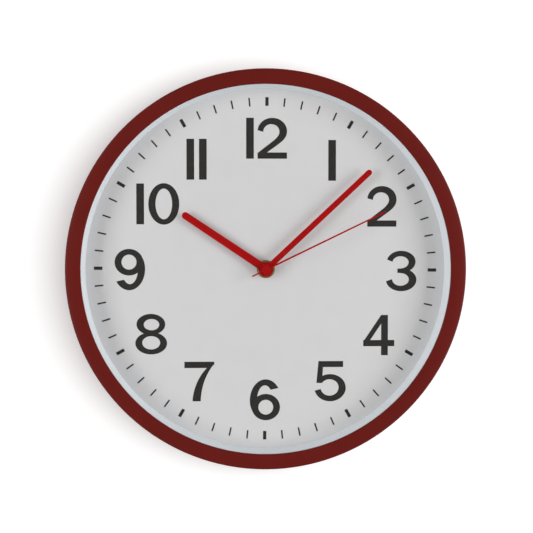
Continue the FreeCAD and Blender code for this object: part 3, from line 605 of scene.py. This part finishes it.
# Two open bowls that meet at a short bar.
THREE = Digit(0.757, (
    band(Oval((0.379, 0.73), (0.355, 0.27), 169.0, -52.0),
         Oval((0.362, 0.715), (0.2, 0.150), 175.0, -92.0)),
    band(Oval((0.379, 0.282), (0.378, 0.282), 55.0, -173.0),
         Oval((0.362, 0.291), (0.207, 0.156), 92.0, -183.0)),
    block(0.285, 0.453, 0.6, 0.56)))

# An upright, a crossbar and a slope.
FOUR = Digit(0.77, (
    block(0.444, 0.0, 0.611, 1.0),
    block(0.0, 0.225, 0.77, 0.378),
    [(0.0, 0.30), (0.0, 0.339), (0.444, 1.0), (0.53, 1.0), (0.53, 0.9), (0.444, 0.785), (0.172, 0.378),
     (0.172, 0.30)]))

# A leaning upright, a flag and an open bowl.
FIVE = Digit(0.772, (
    [(0.046, 0.458), (0.18, 0.456), (0.192, 0.60), (0.211, 0.90), (0.211, 1.0), (0.096, 1.0)],
    block(0.1, 0.852, 0.706, 1.0),
    band(Oval((0.384, 0.338), (0.389, 0.338), 131.0, -168.0),
         Oval((0.372, 0.3445), (0.224, 0.204), 147.0, -169.0))))

# A tall open hook, its heel and a round bowl.
SIX = Digit(0.734, (
    band(Oval((0.385, 0.48), (0.385, 0.52), 36.0, 180.0),
         Oval((0.368, 0.5), (0.193, 0.353), 44.0, 180.0)),
    band(Oval((0.385, 0.482), (0.385, 0.482), 180.0, 270.0),
         Oval((0.385, 0.5), (0.222, 0.33), 180.0, 270.0)),
    ring_of(Oval((0.39, 0.3215), (0.344, 0.3215)))),
    (ring_of(Oval((0.388, 0.319), (0.181, 0.181))),), scale=1.015)

# A curved slope under a flag.
SEVEN = Digit(0.7516, (
    band(Sweep((0.7516, 0.95), (0.56, 0.72), (0.42, 0.40), (0.408, 0.0)),
         Sweep((0.595, 0.87), (0.37, 0.66), (0.222, 0.34), (0.202, 0.0))),
    [(0.0, 0.842), (0.62, 0.842), (0.7516, 0.93), (0.7516, 1.0), (0.0, 1.0)]), scale=0.978)

# Two closed bowls, the lower one larger.
EIGHT = Digit(0.778, (
    ring_of(Oval((0.382, 0.742), (0.352, 0.258))),
    ring_of(Oval((0.389, 0.275), (0.389, 0.275)))),
    (ring_of(Oval((0.397, 0.735), (0.191, 0.139))), ring_of(Oval((0.389, 0.287), (0.220, 0.164)))))

DIGITS = (ZERO, ONE, TWO, THREE, FOUR, FIVE, SIX, SEVEN, EIGHT, SIX.turned())


@dataclass
class PrintedDial:
    """The dial's print: twelve upright numerals and sixty minute marks, in millimetres.

    Attributes:
        face: Distance of the dial's face from the wall.
        ink: Thickness of the print.
        rise: Gap between the dial and the print, which keeps the two faces apart.
        height: Height of a numeral.
        twist: Turn of the ring of marks, clockwise.
        mark_radius: Distance of a mark's middle from the dial's.
        mark_length: Length of a mark.
        hour_mark_width: Width of the twelve marks at the hours.
        minute_mark_width: Width of the other marks.
        gaps: Space between the two digits of a numeral.
        centres: Middle of each numeral on the dial.
    """

    face: float = 25.5
    ink: float = 0.06
    rise: float = 0.005
    height: float = 30.8
    twist: float = 0.39
    mark_radius: float = 126.7
    mark_length: float = 6.5
    hour_mark_width: float = 2.45
    minute_mark_width: float = 1.15
    gaps: dict[str, float] = field(default_factory=lambda: {"10": 3.3, "11": 3.7, "12": 2.9})
    centres: dict[str, Point] = field(default_factory=lambda: {
        "12": (0.6, 99.0), "1": (50.3, 82.4), "2": (88.3, 47.6), "3": (103.2, -1.6), "4": (86.2, -50.5),
        "5": (49.1, -85.6), "6": (-0.7, -99.6), "7": (-50.5, -85.4), "8": (-86.9, -49.2), "9": (-102.8, -0.2),
        "10": (-81.6, 49.4), "11": (-52.3, 83.1)})

    def solid(self, patch: Patch, size: float, corner: Point, over: float = 0.0) -> bpy.types.Object:
        """One patch of a digit, sized and set at a corner, as a millimetre plate that joins cleanly."""
        outline = [(corner[0] + x * size, corner[1] + z * size) for x, z in patch]
        return prism("patch", outline, -over, 1.0 + over)

    def numeral(self, text: str) -> None:
        """Builds one numeral and places it on the dial.

        Args:
            text: The numeral, of one or two digits.
        """
        digits = [DIGITS[int(character)] for character in text]
        gap = self.gaps.get(text, 0.0)
        width = sum(d.width * self.height * d.scale for d in digits) + gap * (len(digits) - 1)
        left = self.centres[text][0] - width / 2
        solids, holes = [], []
        for digit in digits:
            size = self.height * digit.scale
            corner = (left, self.centres[text][1] - size / 2)
            solids += [self.solid(patch, size, corner) for patch in digit.patches]
            holes += [self.solid(patch, size, corner, CUT_MARGIN / 2) for patch in digit.holes]
            left += digit.width * size + gap
        piece = combined(f"numeral_{text}", solids, holes)
        self.settle(piece)
        place(piece, DIAL_INK, CASE_BODY)

    def settle(self, piece: bpy.types.Object) -> None:
        """Thins a plate to the ink's thickness and lays it on the dial."""
        for vertex in piece.data.vertices:
            vertex.co.y = -(self.face + self.rise) + vertex.co.y * self.ink

    def marks(self) -> None:
        """Builds the ring of minute marks, with a wider one at each hour."""
        bm = bmesh.new()
        low, high = self.mark_radius - self.mark_length / 2, self.mark_radius + self.mark_length / 2
        for minute in range(60):
            half = (self.hour_mark_width if minute % 5 == 0 else self.minute_mark_width) / 2
            corners = along_bearing([(low, -half), (high, -half), (high, half), (low, half)],
                                    FULL_TURN * minute / 60 + self.twist)
            add_plate(bm, corners, 0.0, 1.0)
        piece = link_mesh("minute_marks", bm)
        self.settle(piece)
        place(piece, DIAL_INK, CASE_BODY)

    def build(self) -> None:
        """Builds every numeral and the marks."""
        for text in self.centres:
            self.numeral(text)
        self.marks()

    def dress(self) -> None:
        """Finishes the dial disc."""
        dress(DIAL_PAPER, "dial")


# -------------------- hands


@dataclass
class Hand:
    """A flat stamped hand with a round eye and a rounded tip.

    Attributes:
        name: The piece's name.
        body: The body that it turns with.
        bearing: Its direction at rest, clockwise from twelve.
        length: From the axis to the tip.
        root: Blade width at the axis.
        tip: Blade width at the tip.
        eye: Radius of the eye.
        bore: Radius of the hole in the eye.
        back: Distance of its back face from the wall.
        front: Distance of its front face from the wall.
        tail: Length of the tail behind the axis, as wide as the tip.
        edge: Width of the rounding along its edges.
        eye_sides: Sides of the eye's outline.
        bore_sides: Sides of the hole's outline.
        tip_steps: Steps round the tip.
    """

    name: str
    body: str
    bearing: float
    length: float
    root: float
    tip: float
    eye: float
    bore: float
    back: float
    front: float
    tail: float = 0.0
    edge: float = 0.12
    eye_sides: int = 72
    bore_sides: int = 48
    tip_steps: int = 24

    def blade(self) -> Patch:
        """The blade's outline, with the tail if there is one.

        Returns:
            The corners.
        """
        wide, narrow = self.root / 2, self.tip / 2
        end = self.length - narrow
        tip = arc((end, 0.0), (narrow, narrow), -90.0, 90.0, self.tip_steps)
        outline = [(0.0, -wide), *tip, (0.0, wide)]
        if self.tail:
            outline = [(-self.tail, narrow), (-self.tail, -narrow), (0.0, -narrow), *outline, (0.0, narrow)]
        return along_bearing(outline, self.bearing)

    def build(self) -> None:
        """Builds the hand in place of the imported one."""
        plates = [prism("eye", circle(self.eye, self.eye_sides), self.back, self.front),
                  prism("blade", self.blade(), self.back, self.front)]
        hole = circle(self.bore, self.bore_sides)
        bore = prism("bore", hole, self.back - CUT_MARGIN, self.front + CUT_MARGIN)
        piece = combined(f"{self.name}_blade", plates, [bore])
        rounded(piece, self.edge)
        place(piece, HAND_RED, self.body, self.name)


@dataclass
class HandSet:
    """The three hands and the cap over the second hand's tube, in millimetres.

    Attributes:
        cap_radius: Radius of the cap.
        cap_back: Distance of the cap's foot from the wall.
        cap_front: Distance of the cap's top from the wall.
        cap_rim: Rounding of the cap's rim, and rise of its dome.
        cap_foot: Chamfer of the cap's foot.
        cap_sides: Number of sides round the cap.
        hands: The hands, from the dial outwards.
    """

    cap_radius: float = 3.4
    cap_back: float = 35.6
    cap_front: float = 36.8
    cap_rim: float = 0.35
    cap_foot: float = 0.1
    cap_sides: int = 72
    hands: tuple[Hand, ...] = (
        Hand("hour_hand", "hour_set", bearing=303.7, length=75.7, root=6.1, tip=5.4, eye=5.6, bore=2.5,
             back=29.6, front=30.1),
        Hand("minute_hand", "minute_set", bearing=46.8, length=108.8, root=4.4, tip=4.3, eye=4.4, bore=1.7,
             back=32.2, front=32.7),
        Hand("second_hand", "seconds_train", bearing=64.2, length=99.9, root=1.35, tip=1.1, eye=2.4, bore=0.9,
             back=35.3, front=35.6, tail=11.8, edge=0.06),
    )

    def cap(self) -> None:
        """Builds the cap as a low dome with a rounded rim."""
        rim = self.cap_rim
        flat = self.cap_radius - rim
        crown = self.cap_front - rim
        profile = [(0.0, self.cap_back), (self.cap_radius - self.cap_foot, self.cap_back)]
        profile += arc((flat, crown - rim), (rim, rim), 0.0, 90.0, ROUNDING_STEPS)
        for step in range(ROUNDING_STEPS, -1, -1):
            share = step / (ROUNDING_STEPS + 1)
            profile.append((flat * share, crown + rim * (1.0 - share * share)))
        dome = lathe("second_hand_dome", profile, self.cap_sides)
        place(dome, HAND_RED, "seconds_train", "second_hand_cap")

    def build(self) -> None:
        """Builds every hand and the cap."""
        for hand in self.hands:
            hand.build()
        self.cap()

    def dress(self) -> None:
        """Finishes the tube that carries the second hand."""
        dress(HAND_RED, "second_hand_tube")


# -------------------- case, back and movement


CROWN_STEPS = 12
BOSS_SIDES = 40
PILOT_SIDES = 24
BOSS_OVERLAP = 0.5
MIDDLE_OF_ROUND = 0.3


@dataclass
class Case:
    """The moulded ring, its lens and the screws that hold the back, in millimetres.

    Attributes:
        radius: Outer radius of the ring.
        back_radius: Outer radius at the wall, a little less for the mould's draft.
        draft_depth: Distance from the wall where the draft ends.
        depth: Distance of the front from the wall.
        bore: Inner radius of the wall of the ring.
        lip_bore: Inner radius of the front lip.
        lip_back: Distance of the lip's rear face from the wall.
        crown: Rise of the lip's face between its two edges.
        outer_round: Rounding of the lip's outer edge.
        inner_round: Rounding of the lip's inner edge.
        rear_round: Chamfer of the rear rim.
        boss_circle: Distance of a screw boss from the middle.
        boss_radius: Radius of a screw boss.
        boss_back: Distance of a boss's rear face from the wall.
        pilot_radius: Radius of the hole in a boss.
        pilot_depth: Depth of that hole.
        bosses: Number of bosses.
        first_boss: Bearing of the first boss.
        spacer_foot: Inner radius of the spacer at the dial.
        spacer_wall: Thickness of the spacer.
        spacer_edge: Rounding of the spacer's edge at the lens.
        stack_radius: Outer radius of the spacer and the dial.
        seat_gap: Gap that keeps the spacer's faces off the dial and the lens.
        dial_front: Distance of the dial's face from the wall.
        lens_back: Distance of the lens's rear face from the wall.
        sides: Number of sides round the ring.
    """

    radius: float = 150.0
    back_radius: float = 148.5
    draft_depth: float = 36.0
    depth: float = 42.96
    bore: float = 146.5
    lip_bore: float = 138.4
    lip_back: float = 41.0
    crown: float = 0.26
    outer_round: float = 1.8
    inner_round: float = 0.8
    rear_round: float = 0.3
    boss_circle: float = 144.2
    boss_radius: float = 2.8
    boss_back: float = 25.0
    pilot_radius: float = 1.35
    pilot_depth: float = 11.0
    bosses: int = 6
    first_boss: float = 30.0
    spacer_foot: float = 136.2
    spacer_wall: float = 1.4
    spacer_edge: float = 0.3
    stack_radius: float = 141.0
    seat_gap: float = 0.01
    dial_front: float = 25.5
    lens_back: float = 39.0
    sides: int = 360

    def lip_profile(self) -> Patch:
        """The section of the ring, from the wall up the outside, over the lip and down the inside.

        Returns:
            Points of (radius, distance from the wall).
        """
        shoulder = self.depth - self.crown
        outer, inner, rear = self.outer_round, self.inner_round, self.rear_round
        section = [(self.back_radius, rear), (self.radius, self.draft_depth)]
        section += arc((self.radius - outer, shoulder - outer), (outer, outer), 0.0, 90.0, ROUNDING_STEPS)
        left, right = self.lip_bore + inner, self.radius - outer
        for step in range(1, CROWN_STEPS):
            share = step / CROWN_STEPS
            rise = self.crown * 4.0 * share * (1.0 - share)
            section.append((right + (left - right) * share, shoulder + rise))
        section += arc((left, shoulder - inner), (inner, inner), 90.0, 180.0, ROUNDING_STEPS)
        return section + [(self.lip_bore, self.lip_back), (self.bore, self.lip_back), (self.bore, rear),
                          (self.bore + rear, 0.0), (self.back_radius - rear, 0.0)]

    def shell(self) -> None:
        """Builds the ring with its screw bosses and their pilot holes."""
        solids = [lathe("ring", self.lip_profile(), self.sides)]
        holes = []
        for number in range(self.bosses):
            centre = turned_point(self.boss_circle, self.first_boss + number * FULL_TURN / self.bosses)
            boss = circle(self.boss_radius, BOSS_SIDES, centre)
            pilot = circle(self.pilot_radius, PILOT_SIDES, centre)
            back = self.boss_back
            solids.append(prism("boss", boss, back, self.lip_back + BOSS_OVERLAP))
            holes.append(prism("pilot", pilot, back - CUT_MARGIN, back + self.pilot_depth))
        place(combined("case_shell", solids, holes), BURGUNDY, CASE_BODY, "case_ring")

    def spacer(self) -> None:
        """Builds the sloping spacer between the dial and the lens, with a flange at each end."""
        wall, edge = self.spacer_wall, self.spacer_edge
        low, high = self.dial_front, self.lens_back
        seat, top = low + self.seat_gap, high - self.seat_gap
        middle = MIDDLE_OF_ROUND * edge
        section = [(self.spacer_foot, seat), (self.stack_radius, seat), (self.stack_radius, low + wall),
                   (self.spacer_foot + wall, low + wall), (self.lip_bore + wall, high - wall),
                   (self.stack_radius, high - wall), (self.stack_radius, top), (self.lip_bore + edge, top),
                   (self.lip_bore + middle, high - middle), (self.lip_bore, high - edge)]
        place(lathe("spacer_ring", section, self.sides), SPACER_WHITE, CASE_BODY, "inner_ring")

    def build(self) -> None:
        """Builds the ring and the spacer inside it."""
        self.shell()
        self.spacer()

    def dress(self) -> None:
        """Finishes the lens, back plate, hanger and screws."""
        dress(CLEAR_LENS, "lens")
        dress(BACK_BLACK, "back_plate")
        dress(PLATED_STEEL, "case_screws", "hanger")


ARROW_STEPS = 24


@dataclass
class Movement:
    """The quartz movement: its box, board, motor, wheels and setting knob, in millimetres.

    Attributes:
        cover: Distance of the rear cover's outer face from the wall.
        relief: Height of the marks moulded on it.
        sink: How far the marks reach into the cover.
        knob: The setting knob's axis.
        bead_half_width: Half the width of the bead round the cover.
        bead_low: Height of the bead's lower edge.
        bead_high: Height of the bead's upper edge.
        bead: Width of the bead.
        edge: Rounding of the bead's edges.
        fine_edge: Rounding of the small marks' edges.
        arrow_radius: Distance of the arrows from the knob's axis.
        arrow_width: Width of an arrow's shaft.
        arrow_head: Half the width of its head.
        arrow_point: Length of its head, in degrees.
        sign_height: Height of the plus and minus signs.
        sign_side: Distance of the signs from the middle.
        sign_size: Size of a sign.
        sign_arm: Half the width of a sign's arm.
    """

    cover: float = 6.0
    relief: float = 0.3
    sink: float = 0.1
    knob: Point = (4.8, 8.31)
    bead_half_width: float = 26.0
    bead_low: float = -16.9
    bead_high: float = 18.0
    bead: float = 0.8
    edge: float = 0.12
    fine_edge: float = 0.08
    arrow_radius: float = 8.6
    arrow_width: float = 0.8
    arrow_head: float = 1.3
    arrow_point: float = 17.0
    sign_height: float = -13.6
    sign_side: float = 21.8
    sign_size: float = 3.4
    sign_arm: float = 0.45

    def raised(self, name: str, outline: Patch) -> bpy.types.Object:
        """A mark that stands proud of the rear cover."""
        return prism(name, outline, self.cover - self.relief, self.cover + self.sink)

    def cover_bead(self) -> None:
        """Builds the raised bead round the rear cover."""
        half, low, high, wide = self.bead_half_width, self.bead_low, self.bead_high, self.bead
        outer = self.raised("bead_outer", block(-half, low, half, high))
        inner = prism("bead_inner", block(-half + wide, low + wide, half - wide, high - wide),
                      self.cover - CUT_MARGIN, self.cover + CUT_MARGIN)
        piece = combined("cover_bead", [outer], [inner])
        rounded(piece, self.edge, segments=2)
        place(piece, MOVEMENT_BLACK, CASE_BODY)

    def arrow(self, name: str, start: float, end: float) -> None:
        """Builds a curved arrow round the setting knob.

        Args:
            name: The piece's name.
            start: Bearing of the tail.
            end: Bearing where the head begins.
        """
        half, head = self.arrow_width / 2, self.arrow_head
        turns = [start + (end - start) * step / ARROW_STEPS for step in range(ARROW_STEPS + 1)]
        outline = [turned_point(self.arrow_radius + half, turn, self.knob) for turn in turns]
        tip = end + math.copysign(self.arrow_point, end - start)
        outline += [turned_point(self.arrow_radius + head, end, self.knob),
                    turned_point(self.arrow_radius, tip, self.knob),
                    turned_point(self.arrow_radius - head, end, self.knob)]
        outline += [turned_point(self.arrow_radius - half, turn, self.knob) for turn in reversed(turns)]
        piece = self.raised(name, outline)
        rounded(piece, self.fine_edge, segments=2)
        place(piece, MOVEMENT_BLACK, CASE_BODY)

    def signs(self) -> None:
        """Builds the plus and minus signs over the ends of the cell."""
        half, arm = self.sign_size / 2, self.sign_arm
        for name, side, bars in (("plus_sign", 1.0, 2), ("minus_sign", -1.0, 1)):
            x, z = side * self.sign_side, self.sign_height
            plates = [self.raised("bar", block(x - half, z - arm, x + half, z + arm))]
            if bars == 2:
                plates.append(self.raised("upright", block(x - arm, z - half, x + arm, z + half)))
            piece = combined(name, plates)
            rounded(piece, self.fine_edge, segments=2)
            place(piece, MOVEMENT_BLACK, CASE_BODY)

    def build(self) -> None:
        """Builds the marks moulded on the rear cover."""
        self.cover_bead()
        self.arrow("setting_arrow_right", start=40.0, end=120.0)
        self.arrow("setting_arrow_left", start=-40.0, end=-120.0)
        self.signs()

    def dress(self) -> None:
        """Finishes every part of the movement."""
        dress(MOVEMENT_BLACK, "movement_case", "rear_cover", "setting_knob")
        dress(TURNED_BRASS, "brass_washer", "hex_nut", "threaded_bush", "clutch_spring", "minute_pipe")
        dress(SOFT_RUBBER, "rubber_washer")
        dress(ACETAL, "gear_plate", "coil_bobbin", "rotor_pinion", "intermediate_wheel", "seconds_wheel",
              "third_wheel", "centre_wheel", "minute_work_wheel", "hour_wheel")
        dress(NICKEL, "seconds_arbor", "crystal", "positive_contact", "negative_contact")
        dress(LAMINATE, "circuit_board")
        dress(CAST_RESIN, "chip")
        dress(ENAMELLED_WIRE, "coil_winding")
        dress(STAMPED_IRON, "coil_core", "stator")
        dress(SINTERED_MAGNET, "rotor_magnet")


@dataclass
class Cell:
    """The plain cell that drives the movement, in millimetres.

    Attributes:
        radius: Radius of the sleeve.
        left: Where the sleeve starts, at the negative end.
        right: Where the sleeve ends, at the positive end.
        height: Height of the cell's axis above the hands' axis.
        depth: Distance of the cell's axis from the wall.
        shrink: Rounding where the sleeve shrinks over the ends.
        band: Width of the paler band at the positive end.
        film: How far the band's print stands out.
        film_root: How far the band reaches into the sleeve.
        shrink_steps: Steps in the rounding of each end.
        sides: Number of sides round the cell.
    """

    radius: float = 7.1
    left: float = -24.8
    right: float = 23.6
    height: float = -26.9
    depth: float = 13.0
    shrink: float = 0.7
    band: float = 12.0
    film: float = 0.02
    film_root: float = 0.1
    shrink_steps: int = 6
    sides: int = 96

    def along(self, name: str, profile: Sequence[Point]) -> bpy.types.Object:
        """Turns a solid about the cell's own axis.

        Args:
            name: The object's name.
            profile: Closed loop of (radius, place along the cell).

        Returns:
            The object.
        """
        piece = lathe(name, profile, self.sides)
        for vertex in piece.data.vertices:
            across, back, up = vertex.co
            vertex.co = (-back, across - self.depth, up + self.height)
        return piece

    def sleeve(self) -> None:
        """Builds the sleeved can with ends that the sleeve has shrunk over."""
        shrink = self.shrink
        flat = self.radius - shrink
        low = arc((flat, self.left + shrink), (shrink, shrink), -90.0, 0.0, self.shrink_steps)
        high = arc((flat, self.right - shrink), (shrink, shrink), 0.0, 90.0, self.shrink_steps)
        jacket = self.along("cell_jacket", [(0.0, self.left), *low, *high, (0.0, self.right)])
        place(jacket, CELL_SLEEVE, "cell", "cell_body")

    def positive_band(self) -> None:
        """Builds the paler band that marks the positive end."""
        end = self.right - self.shrink
        inner, outer = self.radius - self.film_root, self.radius + self.film
        section = [(inner, end - self.band), (outer, end - self.band), (outer, end), (inner, end)]
        place(self.along("cell_band", section), CELL_BAND, "cell")

    def build(self) -> None:
        """Builds the sleeve and its band."""
        self.sleeve()
        self.positive_band()

    def dress(self) -> None:
        """Finishes both ends."""
        dress(NICKEL, "cell_positive_cap", "cell_negative_cap")


# -------------------- studio


@dataclass(frozen=True)
class Softbox:
    """A large soft light that points at the hands' axis, in metres and watts."""

    name: str
    place: tuple[float, float, float]
    width: float
    height: float
    power: float
    lights_wall: bool = True
    lights_clock: bool = True

    def build(self, wall: bpy.types.Object) -> None:
        """Makes the light and keeps it off the wall or the clock if asked.

        Args:
            wall: The wall behind the clock.
        """
        data = bpy.data.lights.new(self.name, "AREA")
        data.shape = "RECTANGLE"
        data.size, data.size_y = self.width, self.height
        data.energy = self.power
        lamp = bpy.data.objects.new(self.name, data)
        bpy.context.scene.collection.objects.link(lamp)
        lamp.location = self.place
        lamp.visible_camera = False
        lamp.rotation_mode = "QUATERNION"
        lamp.rotation_quaternion = (-Vector(self.place)).to_track_quat("-Z", "Y")
        if self.lights_wall and self.lights_clock:
            return
        reached = bpy.data.collections.new(f"{self.name}_reach")
        reached.objects.link(wall)
        reached.collection_objects[0].light_linking.link_state = "INCLUDE" if self.lights_wall else "EXCLUDE"
        lamp.light_linking.receiver_collection = reached


@dataclass
class Studio:
    """The wall, the lights, the world and the camera, in metres and degrees.

    Attributes:
        wall_gap: Gap between the case and the wall.
        wall_radius: Radius of the round wall.
        wall_sides: Sides of its outline.
        opening: Radius of the hole in it, hidden by the clock.
        wall_colour: Grey of its paint.
        wall_glow: Light of its own, which lifts the shadows on it.
        ambient: Strength of the light from all round.
        backdrop: Strength of what the camera sees past the wall.
        camera_aim: Point that the camera looks at.
        camera_distance: How far from that point it stands.
        camera_left: How far it stands to the left of straight on.
        camera_up: How far it stands above straight on.
        lens_mm: Focal length, for a sensor 36 mm wide.
        lights: The softboxes.
    """

    wall_gap: float = 0.0006
    wall_radius: float = 3.0
    wall_sides: int = 96
    opening: float = 0.1455
    wall_colour: float = 0.9
    wall_glow: float = 0.26
    ambient: float = 0.51
    backdrop: float = 1.25
    camera_aim: tuple[float, float, float] = (-0.00015, -0.043, 0.00266)
    camera_distance: float = 0.9985
    camera_left: float = 2.2
    camera_up: float = 2.2
    lens_mm: float = 90.45
    lights: tuple[Softbox, ...] = (
        Softbox("left_softbox", (-1.45, -1.22, 0.0), 0.8, 1.6, 19.4, lights_wall=False),
        Softbox("right_softbox", (1.6, -1.10, 0.0), 0.9, 1.6, 23.9, lights_wall=False),
        Softbox("wall_softbox", (0.62, -1.90, 0.0), 1.9, 1.3, 30.0, lights_clock=False),
        Softbox("rear_softbox", (1.0, 1.4, 1.0), 1.0, 1.0, 40.0),
        Softbox("rear_fill", (-1.5, 1.3, 0.2), 1.0, 1.6, 16.0),
    )

    def wall(self) -> bpy.types.Object:
        """Builds the wall, open behind the clock so that light from the room reaches the clock's back.

        Returns:
            The wall.
        """
        bm = bmesh.new()
        count = self.wall_sides
        inner, outer = ([bm.verts.new((x, self.wall_gap, z)) for x, z in circle(radius, count)]
                        for radius in (self.opening, self.wall_radius))
        for step in range(count):
            after = (step + 1) % count
            bm.faces.new((inner[step], outer[step], outer[after], inner[after]))
        mesh = bpy.data.meshes.new("wall")
        bm.normal_update()
        flipped = [face for face in bm.faces if face.normal.y > 0.0]
        bmesh.ops.reverse_faces(bm, faces=flipped)
        bm.to_mesh(mesh)
        bm.free()
        wall = bpy.data.objects.new("wall", mesh)
        bpy.context.scene.collection.objects.link(wall)
        wall.data.materials.append(self.wall_material())
        return wall

    def wall_material(self) -> bpy.types.Material:
        """Pale matt paint in front, and nothing at all from behind.

        Returns:
            The material.
        """
        bench = NodeBench("pale_wall")
        paint = bench.add("ShaderNodeBsdfPrincipled", Roughness=0.9)
        paint.inputs["Base Color"].default_value = (self.wall_colour,) * 3 + (1.0,)
        paint.inputs["Specular IOR Level"].default_value = 0.1
        paint.inputs["Emission Color"].default_value = (1.0, 1.0, 1.0, 1.0)
        paint.inputs["Emission Strength"].default_value = self.wall_glow
        clear = bench.add("ShaderNodeBsdfTransparent")
        side = bench.add("ShaderNodeNewGeometry")
        mix = bench.add("ShaderNodeMixShader")
        bench.link(side.outputs["Backfacing"], mix.inputs["Fac"])
        bench.link(paint.outputs["BSDF"], mix.inputs[1])
        bench.link(clear.outputs["BSDF"], mix.inputs[2])
        out = bench.add("ShaderNodeOutputMaterial")
        bench.link(mix.outputs["Shader"], out.inputs["Surface"])
        return bench.material

    def world(self) -> None:
        """A soft even light from all round, which the camera sees as a pale backdrop."""
        world = bpy.data.worlds.new("studio")
        bpy.context.scene.world = world
        world.use_nodes = True
        tree = world.node_tree
        tree.nodes.clear()
        path = tree.nodes.new("ShaderNodeLightPath")
        strength = tree.nodes.new("ShaderNodeMapRange")
        strength.inputs["To Min"].default_value = self.ambient
        strength.inputs["To Max"].default_value = self.backdrop
        tree.links.new(path.outputs["Is Camera Ray"], strength.inputs["Value"])
        back = tree.nodes.new("ShaderNodeBackground")
        tree.links.new(strength.outputs["Result"], back.inputs["Strength"])
        out = tree.nodes.new("ShaderNodeOutputWorld")
        tree.links.new(back.outputs["Background"], out.inputs["Surface"])

    def camera(self) -> None:
        """The camera, a metre in front of the dial, a little to its left and a little above it."""
        data = bpy.data.cameras.new("camera")
        data.sensor_width = 36.0
        data.lens = self.lens_mm
        data.clip_start = 0.05
        camera = bpy.data.objects.new("camera", data)
        bpy.context.scene.collection.objects.link(camera)
        left, up = math.radians(self.camera_left), math.radians(self.camera_up)
        away = Vector((-math.sin(left), -math.cos(left) * math.cos(up), math.sin(up))).normalized()
        camera.location = Vector(self.camera_aim) + away * self.camera_distance
        camera.rotation_mode = "QUATERNION"
        camera.rotation_quaternion = (-away).to_track_quat("-Z", "Y")
        bpy.context.scene.camera = camera

    def build(self) -> None:
        """Builds the whole studio."""
        bpy.context.scene.view_settings.view_transform = "Standard"
        self.camera()
        self.world()
        wall = self.wall()
        for light in self.lights:
            light.build(wall)


def main() -> None:
    """Builds the studio and the clock's parts in order."""
    logging.basicConfig(level=logging.INFO, format="%(name)s: %(message)s")
    Studio().build()
    for assembly in (Case(), PrintedDial(), HandSet(), Movement(), Cell()):
        assembly.dress()
        assembly.build()


if __name__ == "__main__":
    main()
